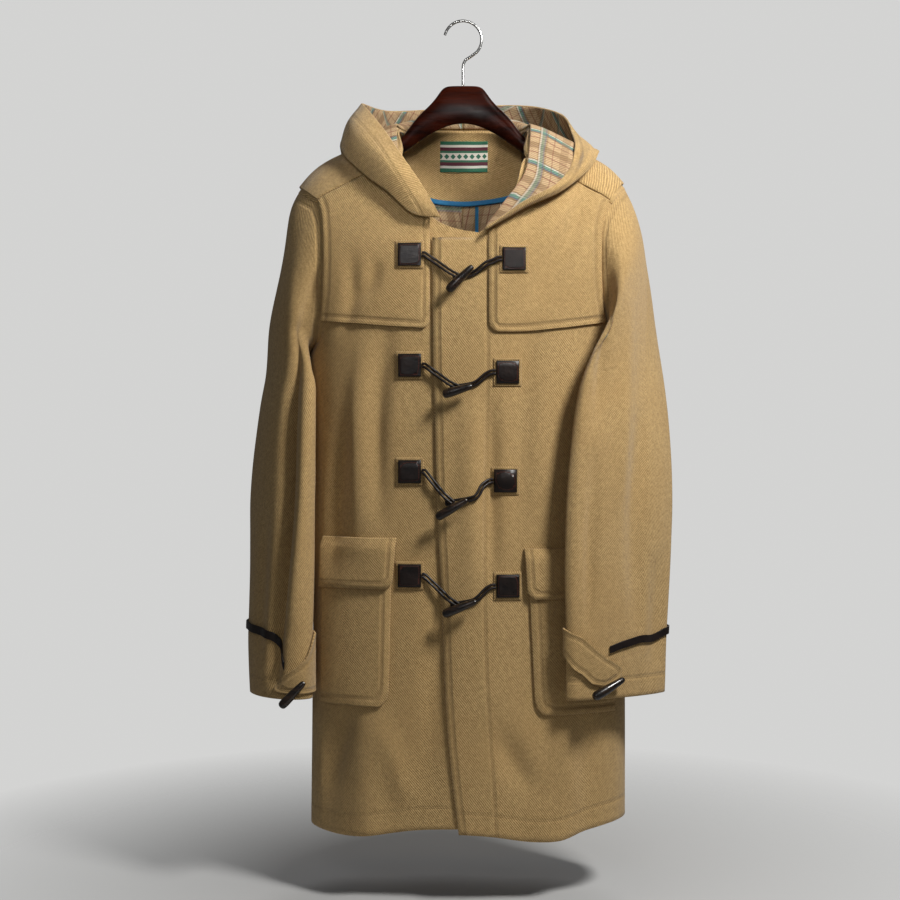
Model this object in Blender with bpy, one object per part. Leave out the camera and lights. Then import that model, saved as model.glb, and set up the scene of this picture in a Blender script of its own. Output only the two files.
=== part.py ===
"""A hooded duffle coat that hangs filled out on a shaped wooden hanger.

Metres, +Z up, front of the coat towards -Y. The origin is the inside top of the hanger's
hook, where a rail holds it. "Left" and "right" in names are a viewer's, from the front.

The body of the coat is one form: at each height a superellipse, rounded over to a ridge along
the top of the shoulders. Every panel of the body is a grid of points on that form, and what is
sewn on a panel is cut from the panel's own grid and moved out along its normals.
"""
import math
from collections import namedtuple

import bpy
import numpy as np

# ---------------------------------------------------------------- driving dimensions
CLOTH = 0.003            # wall of the double-faced wool cloth
SEAM = 0.0003            # gap between two pieces along a seam
LAYER_GAP = 0.0007       # gap between a panel and what is sewn on it
LEATHER = 0.0018         # leather squares and straps
TAPE = 0.0010            # binding tape, label
FACING = 0.0020          # neck facing

FRONT_POWER = 2.2        # squareness of the body's front and back halves, in plan
BACK_POWER = 2.6
FRONT_ROUND = 0.170      # height over which the front turns over to the shoulder ridge
BACK_ROUND = 0.130
ARM_SWEEP = 0.012        # how far the hanger's arms reach forward at their tips
ARM_REACH = 0.200

SEAM_DROP = 0.052        # shoulder seam, below the ridge on its front side
JUNCTION_X = 0.085       # where the shoulder seam meets the neckline
NECK_END_X = 0.028       # front end of the hood's neckline on the lapping front
UNDERARM_Z = -0.458
YOKE_Z = -0.310          # level above which the fronts' grid fans out to neck and shoulder
LAP_END_X = 0.025        # edge of the under front, hidden by the lapping one
LAP_FADE_X = 0.085       # where the lapping front has come back to the form
PATCH_LEFT_X = -0.070    # line of the left toggle fastenings
POCKET_LEFT_X = -0.0935  # pocket's inner edge, left
SIDE_STRIP = 0.006       # narrow strip of cloth along armhole and side seam

BodySection = namedtuple("BodySection", "z centre half_width front back")
BODY_SECTIONS = (
    BodySection(-0.050, 0.002, 0.255, 0.080, 0.080),
    BodySection(-0.200, 0.002, 0.252, 0.086, 0.082),
    BodySection(-0.250, 0.001, 0.247, 0.092, 0.084),
    BodySection(-0.300, -0.002, 0.237, 0.097, 0.086),
    BodySection(-0.350, -0.002, 0.226, 0.100, 0.088),
    BodySection(-0.400, -0.001, 0.217, 0.102, 0.088),
    BodySection(-0.458, 0.001, 0.2085, 0.104, 0.087),
    BodySection(-0.550, 0.003, 0.206, 0.106, 0.084),
    BodySection(-0.700, 0.006, 0.2085, 0.108, 0.080),
    BodySection(-0.900, 0.0075, 0.212, 0.112, 0.080),
    BodySection(-1.110, 0.0065, 0.213, 0.118, 0.084),
)

RidgeRow = namedtuple("RidgeRow", "x z")
RIDGE = (                # top line of the shoulders, on either side
    RidgeRow(0.000, -0.095), RidgeRow(0.030, -0.0975), RidgeRow(0.050, -0.104),
    RidgeRow(0.070, -0.128), RidgeRow(0.085, -0.146), RidgeRow(0.120, -0.164),
    RidgeRow(0.162, -0.185), RidgeRow(0.188, -0.1985), RidgeRow(0.205, -0.213),
    RidgeRow(0.2225, -0.2345), RidgeRow(0.250, -0.280),
)

ArmholeRow = namedtuple("ArmholeRow", "z x")
FRONT_ARMHOLE = (        # distance of the armhole from the body's centre line
    ArmholeRow(-0.2345, 0.2225), ArmholeRow(-0.245, 0.2165), ArmholeRow(-0.2575, 0.1975),
    ArmholeRow(-0.275, 0.1900), ArmholeRow(-0.291, 0.1870), ArmholeRow(-0.331, 0.1850),
    ArmholeRow(-0.380, 0.1870), ArmholeRow(-0.420, 0.1920), ArmholeRow(-0.445, 0.2005),
    ArmholeRow(-0.458, 0.2085),
)
BackArmholeRow = namedtuple("BackArmholeRow", "turn x")
BACK_ARMHOLE_TOP = (     # by turn over the ridge, in degrees, minus on the front side
    BackArmholeRow(-46, 0.1975), BackArmholeRow(-23, 0.2165), BackArmholeRow(0, 0.2225),
    BackArmholeRow(26, 0.2180), BackArmholeRow(50, 0.2110), BackArmholeRow(72, 0.2050),
    BackArmholeRow(90, 0.2015),
)
BACK_ARMHOLE = (
    ArmholeRow(-0.340, 0.2015), ArmholeRow(-0.380, 0.2000), ArmholeRow(-0.420, 0.2020),
    ArmholeRow(-0.445, 0.2055), ArmholeRow(-0.458, 0.2085),
)

NeckRow = namedtuple("NeckRow", "x drop")
FRONT_NECK = (           # neckline in front: distance from the centre, and below the ridge
    NeckRow(NECK_END_X, 0.2025), NeckRow(0.050, 0.165), NeckRow(0.066, 0.122),
    NeckRow(0.078, 0.086), NeckRow(JUNCTION_X, SEAM_DROP),
)
BackNeckRow = namedtuple("BackNeckRow", "x turn")
BACK_NECK = (            # neckline from the centre back over the ridge to the shoulder seam
    BackNeckRow(0.000, 47), BackNeckRow(0.030, 46), BackNeckRow(0.055, 40),
    BackNeckRow(0.074, 25), BackNeckRow(0.084, 8), BackNeckRow(0.0875, -15),
    BackNeckRow(JUNCTION_X, -46),
)

LapRow = namedtuple("LapRow", "z x")
LAP_EDGE = (             # edge of the lapping front
    LapRow(-0.300, -0.0405), LapRow(-0.444, -0.040), LapRow(-0.521, -0.038),
    LapRow(-0.651, -0.035), LapRow(-0.780, -0.029), LapRow(-0.928, -0.023),
    LapRow(-1.100, -0.005),
)
FACING_STITCH = (        # inner edge of the lapping front's facing, and of the right cape
    LapRow(-0.300, 0.0310), LapRow(-0.440, 0.0310), LapRow(-0.780, 0.0270),
    LapRow(-1.100, 0.0430),
)
PATCH_RIGHT = (          # line of the right toggle fastenings
    LapRow(-0.300, 0.0660), LapRow(-0.338, 0.0650), LapRow(-0.485, 0.0570),
    LapRow(-0.626, 0.0540), LapRow(-0.762, 0.0570), LapRow(-1.100, 0.0680),
)

HemRow = namedtuple("HemRow", "x z")
LEFT_HEM = (
    HemRow(-0.215, -1.086), HemRow(-0.168, -1.091), HemRow(-0.120, -1.087),
    HemRow(-0.030, -1.076), HemRow(0.030, -1.076),
)
RIGHT_HEM = (
    HemRow(-0.010, -1.082), HemRow(0.045, -1.086), HemRow(0.090, -1.093),
    HemRow(0.135, -1.092), HemRow(0.165, -1.083), HemRow(0.220, -1.075),
)
BACK_HEM = (HemRow(-0.215, -1.086), HemRow(0.000, -1.083), HemRow(0.220, -1.075))

FoldRow = namedtuple("FoldRow", "x_top z_top x_bottom z_bottom width height")
FRONT_FOLDS = (          # soft upright folds of the fronts, plus outwards
    FoldRow(-0.105, -0.440, -0.118, -0.680, 0.016, 0.0045),
    FoldRow(-0.150, -0.520, -0.160, -0.720, 0.016, -0.0040),
    FoldRow(-0.160, -0.880, -0.178, -1.085, 0.018, -0.0050),
    FoldRow(-0.075, -0.950, -0.082, -1.090, 0.020, -0.0050),
    FoldRow(-0.120, -0.900, -0.125, -1.090, 0.020, 0.0050),
    FoldRow(0.105, -0.400, 0.085, -0.640, 0.016, 0.0040),
    FoldRow(0.075, -0.950, 0.120, -1.090, 0.020, 0.0060),
    FoldRow(0.160, -0.930, 0.165, -1.085, 0.020, -0.0060),
)
BACK_FOLDS = (
    FoldRow(-0.110, -0.430, -0.135, -1.080, 0.026, 0.0060),
    FoldRow(-0.055, -0.500, -0.062, -1.080, 0.022, -0.0060),
    FoldRow(0.060, -0.470, 0.070, -1.080, 0.024, -0.0060),
    FoldRow(0.115, -0.430, 0.140, -1.080, 0.026, 0.0065),
    FoldRow(-0.165, -0.560, -0.175, -1.080, 0.016, -0.0050),
)

SleeveRing = namedtuple("SleeveRing", "x y z half_width rise depth turn")
LEFT_SLEEVE = (          # x is away from the body; rise lifts the outer end of a ring, and turn
    SleeveRing(0.2154, -0.002, -0.3450, 0.0069, 0.1100, 0.066, 0),   # brings its front inwards
    SleeveRing(0.2224, -0.004, -0.3605, 0.0137, 0.0985, 0.067, 1),
    SleeveRing(0.2242, -0.006, -0.3820, 0.0157, 0.0820, 0.067, 3),
    SleeveRing(0.2288, -0.009, -0.4080, 0.0218, 0.0630, 0.067, 7),
    SleeveRing(0.2328, -0.012, -0.4360, 0.0290, 0.0460, 0.066, 11),
    SleeveRing(0.2348, -0.016, -0.4665, 0.0364, 0.0315, 0.065, 16),
    SleeveRing(0.2365, -0.020, -0.5075, 0.0385, 0.0175, 0.065, 21),
    SleeveRing(0.2393, -0.024, -0.5675, 0.0443, 0.0075, 0.065, 25),
    SleeveRing(0.2440, -0.028, -0.6545, 0.0480, 0.0000, 0.066, 27),
    SleeveRing(0.2440, -0.033, -0.7500, 0.0475, 0.0000, 0.064, 27),
    SleeveRing(0.2453, -0.037, -0.8400, 0.0473, 0.0000, 0.060, 25),
    SleeveRing(0.2425, -0.040, -0.9130, 0.0465, 0.0000, 0.055, 22),
)
RIGHT_SLEEVE = (
    SleeveRing(0.2165, -0.002, -0.3460, 0.0080, 0.1090, 0.066, 0),
    SleeveRing(0.2215, -0.006, -0.3620, 0.0170, 0.0960, 0.074, 5),
    SleeveRing(0.2235, -0.013, -0.3820, 0.0285, 0.0800, 0.084, 11),
    SleeveRing(0.2205, -0.022, -0.4080, 0.0400, 0.0600, 0.091, 18),
    SleeveRing(0.2165, -0.033, -0.4380, 0.0500, 0.0420, 0.092, 25),
    SleeveRing(0.2135, -0.046, -0.4700, 0.0575, 0.0270, 0.089, 33),
    SleeveRing(0.2108, -0.061, -0.5150, 0.0650, 0.0140, 0.085, 42),
    SleeveRing(0.2085, -0.075, -0.5800, 0.0710, 0.0050, 0.083, 48),
    SleeveRing(0.2055, -0.086, -0.6600, 0.0745, 0.0000, 0.082, 53),
    SleeveRing(0.2025, -0.092, -0.7500, 0.0735, 0.0000, 0.080, 55),
    SleeveRing(0.2010, -0.094, -0.8300, 0.0700, 0.0000, 0.075, 56),
    SleeveRing(0.1990, -0.094, -0.9070, 0.0685, 0.0000, 0.072, 57),
)
RINGS_BETWEEN = 2        # grid rings between two rows of a sleeve's table
UNDERARM_DRIFT = {-1: 0.0, 1: 0.20}   # seam under the arm, to the back along its rings
SLEEVE_CLEARANCE = 0.0145 # between sleeve and the body's form, past cape, pocket and flap

HoodRow = namedtuple("HoodRow", "neck stand under fold flank rim")
# Each row is one section of the hood, from its seam on the neckline up the stand, over and
# down to the outer fold, and back up the flank to the rim. The neck point is the place of the
# neckline nearest to the one given. The rows go round from the left front end to the right.
HOOD_ROWS = (
    HoodRow((-0.040, -0.098, -0.284), (-0.0380, -0.1035, -0.2838), (-0.0360, -0.1065, -0.2842),
            (-0.0335, -0.1090, -0.2848), (-0.0310, -0.1110, -0.2856), (-0.0285, -0.1125, -0.2865)),
    HoodRow((-0.0505, -0.092, -0.268), (-0.0545, -0.1035, -0.2695), (-0.0610, -0.1060, -0.2745),
            (-0.0673, -0.1090, -0.2790), (-0.0605, -0.1135, -0.2620), (-0.0517, -0.1100, -0.2454)),
    HoodRow((-0.070, -0.083, -0.238), (-0.0755, -0.0935, -0.2385), (-0.0880, -0.0970, -0.2435),
            (-0.1000, -0.0990, -0.2480), (-0.0925, -0.1055, -0.2220), (-0.0810, -0.0970, -0.1997)),
    HoodRow((-0.083, -0.066, -0.206), (-0.0920, -0.0740, -0.2045), (-0.1100, -0.0790, -0.2155),
            (-0.1275, -0.0820, -0.2266), (-0.1195, -0.0890, -0.1920), (-0.1054, -0.0750, -0.1612)),
    HoodRow((-0.087, -0.035, -0.166), (-0.1000, -0.0420, -0.1665), (-0.1310, -0.0500, -0.1820),
            (-0.1580, -0.0530, -0.1945), (-0.1490, -0.0590, -0.1580), (-0.1285, -0.0450, -0.1284)),
    HoodRow((-0.086, -0.005, -0.149), (-0.1010, -0.0040, -0.1470), (-0.1350, -0.0030, -0.1610),
            (-0.1650, -0.0010, -0.1800), (-0.1590, -0.0120, -0.1440), (-0.1384, -0.0050, -0.1115)),
    HoodRow((-0.080, 0.020, -0.146), (-0.0940, 0.0320, -0.1370), (-0.1240, 0.0550, -0.1700),
            (-0.1520, 0.0780, -0.2300), (-0.1530, 0.0680, -0.1630), (-0.1330, 0.0420, -0.1035)),
    HoodRow((-0.064, 0.043, -0.142), (-0.0720, 0.0550, -0.1250), (-0.0880, 0.0820, -0.1800),
            (-0.1050, 0.1120, -0.2800), (-0.1150, 0.1300, -0.1900), (-0.1080, 0.0850, -0.1010)),
    HoodRow((-0.036, 0.056, -0.138), (-0.0400, 0.0660, -0.1210), (-0.0460, 0.0880, -0.1900),
            (-0.0550, 0.1220, -0.3020), (-0.0600, 0.1460, -0.2000), (-0.0540, 0.1100, -0.0940)),
    HoodRow((0.000, 0.058, -0.136), (0.0000, 0.0690, -0.1190), (0.0000, 0.0900, -0.1950),
            (0.0000, 0.1250, -0.3080), (0.0000, 0.1500, -0.2000), (0.0000, 0.1170, -0.0890)),
    HoodRow((0.036, 0.056, -0.138), (0.0400, 0.0660, -0.1200), (0.0460, 0.0880, -0.1900),
            (0.0550, 0.1220, -0.3020), (0.0600, 0.1460, -0.2000), (0.0520, 0.1120, -0.0870)),
    HoodRow((0.064, 0.043, -0.142), (0.0720, 0.0550, -0.1240), (0.0880, 0.0820, -0.1800),
            (0.1080, 0.1120, -0.2800), (0.1220, 0.1300, -0.1800), (0.1040, 0.0880, -0.0940)),
    HoodRow((0.080, 0.020, -0.146), (0.0950, 0.0320, -0.1380), (0.1280, 0.0550, -0.1720),
            (0.1600, 0.0780, -0.2320), (0.1660, 0.0680, -0.1750), (0.1410, 0.0450, -0.1160)),
    HoodRow((0.086, -0.005, -0.149), (0.1040, -0.0030, -0.1480), (0.1430, -0.0020, -0.1680),
            (0.1780, 0.0000, -0.1920), (0.1740, -0.0080, -0.1700), (0.1490, 0.0040, -0.1480)),
    HoodRow((0.087, -0.030, -0.162), (0.1040, -0.0360, -0.1660), (0.1400, -0.0450, -0.1870),
            (0.1720, -0.0520, -0.2060), (0.1680, -0.0590, -0.1900), (0.1470, -0.0400, -0.1850)),
    HoodRow((0.086, -0.050, -0.184), (0.1000, -0.0600, -0.1865), (0.1280, -0.0700, -0.2050),
            (0.1535, -0.0780, -0.2265), (0.1530, -0.0850, -0.2180), (0.1395, -0.0780, -0.2140)),
    HoodRow((0.078, -0.075, -0.224), (0.0880, -0.0870, -0.2270), (0.1060, -0.0930, -0.2400),
            (0.1215, -0.0970, -0.2515), (0.1225, -0.1040, -0.2485), (0.1170, -0.1080, -0.2430)),
    HoodRow((0.058, -0.090, -0.257), (0.0640, -0.1020, -0.2590), (0.0740, -0.1060, -0.2650),
            (0.0820, -0.1090, -0.2710), (0.0830, -0.1150, -0.2685), (0.0790, -0.1190, -0.2650)),
    HoodRow((0.0295, -0.098, -0.300), (0.0300, -0.1085, -0.3005), (0.0296, -0.1110, -0.3010),
            (0.0290, -0.1135, -0.3017), (0.0282, -0.1160, -0.3025), (0.0272, -0.1185, -0.3035)),
)
HOOD_STEPS = (2, 3, 5, 4, 3)   # grid steps between the six points of a section
HOOD_LIFT = (0.0052, 0.0072, 0.0088, 0.0088, 0.0088, 0.0088, 0.0088, 0.0088, 0.0090, 0.0100,
             0.0128, 0.0158, 0.0166, 0.0166, 0.0166, 0.0166, 0.0166, 0.0166)
# the least height of each row of the hood above the body's form, past cape and lower layer
HOOD_START_ON_LAP = 0.0088

PATCH_SIZE = 0.030       # leather square
BACKING_SIZE = 0.040     # cloth square under it
BACKING = 0.0025
CORD_RADIUS = 0.0017
CORD_SPREAD = 0.0021     # half the distance between the two strands of a cord
TOGGLE_RADIUS = 0.0060

# Each row: heights of its left and right leather squares, the place where cord and loop cross,
# and the thick and thin ends of the horn toggle that lies on them.
Fastening = namedtuple(
    "Fastening", "left_z right_z cross_x cross_z thick_x thick_z thin_x thin_z")
FASTENINGS = (
    Fastening(-0.332, -0.338, -0.0055, -0.3615, -0.0205, -0.3815, 0.0110, -0.3500),
    Fastening(-0.476, -0.485, -0.0085, -0.5045, -0.0260, -0.5150, 0.0110, -0.5040),
    Fastening(-0.614, -0.626, -0.0150, -0.6530, -0.0400, -0.6730, 0.0045, -0.6500),
    Fastening(-0.749, -0.762, -0.0085, -0.7850, -0.0260, -0.7975, 0.0160, -0.7800),
)
TogglePart = namedtuple("TogglePart", "share radius")
TOGGLE_SHAPE = (
    TogglePart(0.00, 0.55), TogglePart(0.04, 0.85), TogglePart(0.14, 1.00),
    TogglePart(0.40, 0.97), TogglePart(0.70, 0.82), TogglePart(0.93, 0.66),
    TogglePart(1.00, 0.42),
)

CAPE_GAP = 0.0045        # cape's edge to the armhole
CAPE_BOTTOM_LEFT = (HemRow(-0.200, -0.4130), HemRow(-0.186, -0.4150), HemRow(-0.111, -0.4230),
                    HemRow(-0.044, -0.4290))
CAPE_BOTTOM_RIGHT = (HemRow(0.031, -0.4330), HemRow(0.062, -0.4330), HemRow(0.123, -0.4270),
                     HemRow(0.200, -0.4150))
CAPE_BOTTOM_BACK = (HemRow(-0.205, -0.4130), HemRow(0.000, -0.4280), HemRow(0.205, -0.4150))
CAPE_LEFT_EDGE_X = -0.0440

Pocket = namedtuple("Pocket", "flap_top top flap_bottom bottom flap_x edge_top_x edge_bottom_x "
                    "round_z corner_x")
POCKETS = {              # two patch pockets with their flaps; x is the edge towards the middle
    "left": Pocket(-0.7000, -0.7165, -0.7670, -0.9200, -0.0870, -0.0930, -0.0965, -0.8970,
                   -0.1130),
    "right": Pocket(-0.7140, -0.7305, -0.7800, -0.9300, 0.0780, 0.0830, 0.0910, -0.9050,
                    0.1070),
}

BandRow = namedtuple("BandRow", "around high low")
# Bands on the sleeves: around counts the lines of the sleeve's grid from the top seam forwards,
# high and low count its rings from the armhole down.
CUFF_TABS = {
    "left": (BandRow(3.3, 22.45, 22.68), BandRow(5.3, 22.00, 22.78), BandRow(6.7, 21.55, 22.78),
             BandRow(8.0, 20.75, 22.75), BandRow(8.8, 20.60, 22.70)),
    "right": (BandRow(1.0, 21.95, 22.25), BandRow(2.0, 21.56, 22.55), BandRow(3.2, 21.25, 22.48),
              BandRow(4.4, 21.00, 22.25), BandRow(5.5, 20.80, 22.00), BandRow(7.0, 20.60, 21.50),
              BandRow(8.3, 20.55, 21.35)),
}
CUFF_STRAPS = {
    "left": (BandRow(-4.5, 20.45, 20.70), BandRow(-1.0, 20.48, 20.73), BandRow(0.0, 20.52, 20.77),
             BandRow(2.0, 20.68, 20.93), BandRow(3.0, 20.92, 21.18), BandRow(4.0, 21.32, 21.58),
             BandRow(4.9, 21.66, 21.94)),
    "right": (BandRow(-4.5, 20.62, 20.87), BandRow(-2.4, 20.78, 21.03), BandRow(-1.3, 20.96, 21.21),
              BandRow(0.0, 20.93, 21.18), BandRow(0.7, 21.03, 21.28), BandRow(1.7, 21.22, 21.46)),
}
CuffToggle = namedtuple("CuffToggle", "thick_ring thick_around thin_ring thin_around")
CUFF_TOGGLES = {
    "left": CuffToggle(23.20, 4.9, 22.30, 6.5),
    "right": CuffToggle(22.85, 3.7, 22.30, 1.1),
}

FACING_COLUMNS = 3       # columns of the back's grid that the neck facing covers, each side
FACING_BOTTOM = (HemRow(-0.130, -0.2050), HemRow(-0.060, -0.2300), HemRow(-0.030, -0.2370),
                 HemRow(0.000, -0.2390), HemRow(0.030, -0.2370), HemRow(0.060, -0.2320),
                 HemRow(0.130, -0.2050))
LABEL_HALF = 0.0345
LABEL_X = 0.002
LABEL_TOP = -0.1475
LABEL_BOTTOM = -0.1905
BINDING_WIDTH = 0.0065
BACK_BINDING_X = 0.0205
BACK_BINDING_WIDTH = 0.0050

HangerRow = namedtuple("HangerRow", "x top bottom half_thick")
HANGER = (
    HangerRow(0.000, -0.0870, -0.1387, 0.0075), HangerRow(0.015, -0.0870, -0.1405, 0.0075),
    HangerRow(0.027, -0.0880, -0.1450, 0.0075), HangerRow(0.036, -0.1030, -0.1490, 0.0078),
    HangerRow(0.046, -0.1145, -0.1545, 0.0082), HangerRow(0.056, -0.1235, -0.1610, 0.0090),
    HangerRow(0.068, -0.1365, -0.1700, 0.0105), HangerRow(0.080, -0.1555, -0.1790, 0.0110),
    HangerRow(0.100, -0.1710, -0.1910, 0.0110), HangerRow(0.130, -0.1728, -0.2020, 0.0135),
    HangerRow(0.162, -0.1888, -0.2170, 0.0140), HangerRow(0.185, -0.2008, -0.2290, 0.0135),
    HangerRow(0.192, -0.2070, -0.2310, 0.0100),
)
HANGER_GAP = 0.0030      # hanger's top below the cloth's inner face along the ridge
HOOK_RADIUS = 0.0255
HOOK_WIRE = 0.0019


# ---------------------------------------------------------------- tables as smooth curves
def curve(rows, key, column):
    """A smooth curve through one column of a table, without overshoot between its rows."""
    at = np.array([getattr(row, key) for row in rows], float)
    value = np.array([getattr(row, column) for row in rows], float)
    if at[0] > at[-1]:
        at, value = at[::-1], value[::-1]
    step = np.diff(at)
    rise = np.diff(value) / step
    slope = np.zeros(len(at))
    slope[0], slope[-1] = rise[0], rise[-1]
    for i in range(1, len(at) - 1):
        if rise[i - 1] * rise[i] > 0:
            slope[i] = 2 * rise[i - 1] * rise[i] / (rise[i - 1] + rise[i])

    def read(x):
        x = np.clip(x, at[0], at[-1])
        i = np.clip(np.searchsorted(at, x) - 1, 0, len(step) - 1)
        t = (x - at[i]) / step[i]
        return (value[i] * (1 + 2 * t) * (1 - t) ** 2 + value[i + 1] * t * t * (3 - 2 * t)
                + step[i] * (slope[i] * t * (1 - t) ** 2 - slope[i + 1] * t * t * (1 - t)))

    return read


def constant(value):
    return lambda _: value


def smooth_step(t):
    t = np.clip(t, 0.0, 1.0)
    return t * t * (3 - 2 * t)


centre_x = curve(BODY_SECTIONS, "z", "centre")
half_width = curve(BODY_SECTIONS, "z", "half_width")
front_depth = curve(BODY_SECTIONS, "z", "front")
back_depth = curve(BODY_SECTIONS, "z", "back")
ridge_z = curve(RIDGE, "x", "z")
front_armhole = curve(FRONT_ARMHOLE, "z", "x")
back_armhole = curve(BACK_ARMHOLE, "z", "x")
back_armhole_top = curve(BACK_ARMHOLE_TOP, "turn", "x")
lap_edge = curve(LAP_EDGE, "z", "x")
facing_stitch = curve(FACING_STITCH, "z", "x")
patch_right = curve(PATCH_RIGHT, "z", "x")
left_hem = curve(LEFT_HEM, "x", "z")
right_hem = curve(RIGHT_HEM, "x", "z")
back_hem = curve(BACK_HEM, "x", "z")


# ---------------------------------------------------------------- the body's form
def middle_y(x):
    """Depth of the plane between front and back, which follows the hanger's swept arms."""
    return -ARM_SWEEP * (x / ARM_REACH) ** 2


def fold_height(x, z, folds):
    """Sum of the soft folds at a place on the form."""
    total = np.zeros(np.broadcast(x, z).shape)
    for fold in folds:
        down = (fold.z_top - z) / (fold.z_top - fold.z_bottom)
        line = fold.x_top + (fold.x_bottom - fold.x_top) * np.clip(down, 0, 1)
        fade = smooth_step(down * 3) * smooth_step((1.25 - down) * 4)
        total = total + fold.height * fade * np.exp(-((x - line) / fold.width) ** 2)
    return total


def form_point(x, turn):
    """Point of the form at x, turned by an angle over the shoulder ridge.

    The angle, in radians, is minus in front and plus behind. Past a quarter turn the form goes
    straight down, by one rounding height for each radian.
    """
    x = np.asarray(x, float)
    turn = np.asarray(turn, float)
    behind = turn > 0
    rounding = np.where(behind, BACK_ROUND, FRONT_ROUND)
    bend = np.minimum(np.abs(turn), math.pi / 2)
    past = np.maximum(np.abs(turn) - math.pi / 2, 0)
    z = ridge_z(np.abs(x)) - rounding * (1 - np.cos(bend) + past)
    power = np.where(behind, BACK_POWER, FRONT_POWER)
    across = np.clip(np.abs(x - centre_x(z)) / half_width(z), 0, 1)
    span = (1 - across ** power) ** (1 / power)
    depth = np.where(behind, back_depth(z), front_depth(z)) * span * np.sin(bend)
    fold = np.where(behind, fold_height(x, z, BACK_FOLDS), fold_height(x, z, FRONT_FOLDS))
    depth = depth + fold * np.minimum(span * 2, 1)
    y = middle_y(x) + np.where(behind, depth, -depth)
    return np.stack(np.broadcast_arrays(x, y, z), axis=-1)


def turn_at(x, z, side):
    """Angle over the ridge at which the form passes height z, on the front (-1) or back (1)."""
    rounding = BACK_ROUND if side > 0 else FRONT_ROUND
    drop = np.maximum(ridge_z(np.abs(x)) - z, 0) / rounding
    return side * np.where(drop < 1, np.arccos(np.clip(1 - drop, -1, 1)),
                           math.pi / 2 + drop - 1)


def form_normal(x, turn):
    """Outward unit normal of the form."""
    dx, dt = 1e-5, 1e-4
    along = form_point(x + dx, turn) - form_point(x - dx, turn)
    over = form_point(x, turn + dt) - form_point(x, turn - dt)
    normal = np.cross(along, over)
    length = np.linalg.norm(normal, axis=-1, keepdims=True)
    return normal / np.maximum(length, 1e-15)


def outside_distance(points):
    """How far points are outside the form, and the direction that leads away from it."""
    def measure(p):
        x, y, z = p[..., 0], p[..., 1], p[..., 2]
        behind = y > middle_y(x)
        rounding = np.where(behind, BACK_ROUND, FRONT_ROUND)
        power = np.where(behind, BACK_POWER, FRONT_POWER)
        across = np.abs(x - centre_x(z)) / half_width(z)
        depth = np.where(behind, back_depth(z), front_depth(z))
        up = np.maximum(z - (ridge_z(np.abs(x)) - rounding), 0) / rounding
        out = np.sqrt(((y - middle_y(x)) / depth) ** 2
                      + (up * np.maximum(1 - across ** power, 1e-6) ** (1 / power)) ** 2)
        return (across ** power + out ** power) ** (1 / power)

    here = measure(points)
    gradient = np.zeros(points.shape)
    for axis in range(3):
        shift = np.zeros(3)
        shift[axis] = 1e-5
        gradient[..., axis] = (measure(points + shift) - measure(points - shift)) / 2e-5
    size = np.maximum(np.linalg.norm(gradient, axis=-1), 1e-9)
    return (here - 1) / size, gradient / size[..., None]


def pushed_clear(points, clearance):
    """Points moved out, where they need it, to stay clear of the form."""
    for _ in range(6):
        distance, away = outside_distance(points)
        short = np.maximum(clearance - distance, 0)
        points = points + away * short[..., None]
    return points


# ---------------------------------------------------------------- grids of cloth
Grid = namedtuple("Grid", "points normals")


def at_index(grid, row, column):
    """Point and normal at a fractional row and column, on the grid's own flat triangles."""
    rows, columns = grid.points.shape[:2]
    r = min(max(int(math.floor(row)), 0), rows - 2)
    c = min(max(int(math.floor(column)), 0), columns - 2)
    s, t = row - r, column - c
    result = []
    for data in (grid.points, grid.normals):
        first, last = data[r, c], data[r + 1, c + 1]
        if t >= s:
            turn = data[r, c + 1]
            result.append(first + t * (turn - first) + s * (last - turn))
        else:
            turn = data[r + 1, c]
            result.append(first + s * (turn - first) + t * (last - turn))
    return result


def crossing(count, level):
    """First index along a line of a grid at which level(index) changes sign."""
    before = level(0.0)
    for i in range(1, count):
        after = level(float(i))
        if before == 0 or before * after < 0:
            low, high = i - 1.0, float(i)
            for _ in range(30):
                middle = (low + high) / 2
                if before * level(middle) <= 0:
                    high = middle
                else:
                    low = middle
            return (low + high) / 2
        before = after
    return 0.0 if abs(level(0.0)) < abs(level(count - 1.0)) else count - 1.0


def find_column(grid, row, x_of_z):
    def level(column):
        point = at_index(grid, row, column)[0]
        return point[0] - x_of_z(point[2])
    return crossing(grid.points.shape[1], level)


def find_row(grid, column, z_of_x):
    def level(row):
        point = at_index(grid, row, column)[0]
        return point[2] - z_of_x(point[0])
    return crossing(grid.points.shape[0], level)


def line_index(edge, count, own):
    """Index of an edge given as a line of the grid; minus counts back from the last line."""
    if edge is None:
        return own
    return edge if edge >= 0 else count - 1 + edge


def corner(grid, x_edge, z_edge, row, column):
    """Row and column where two edges cross; an edge that is no function stays where it is."""
    for _ in range(12):
        if callable(z_edge):
            row = find_row(grid, column, z_edge)
        if callable(x_edge):
            column = find_column(grid, row, x_edge)
    return row, column


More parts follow.
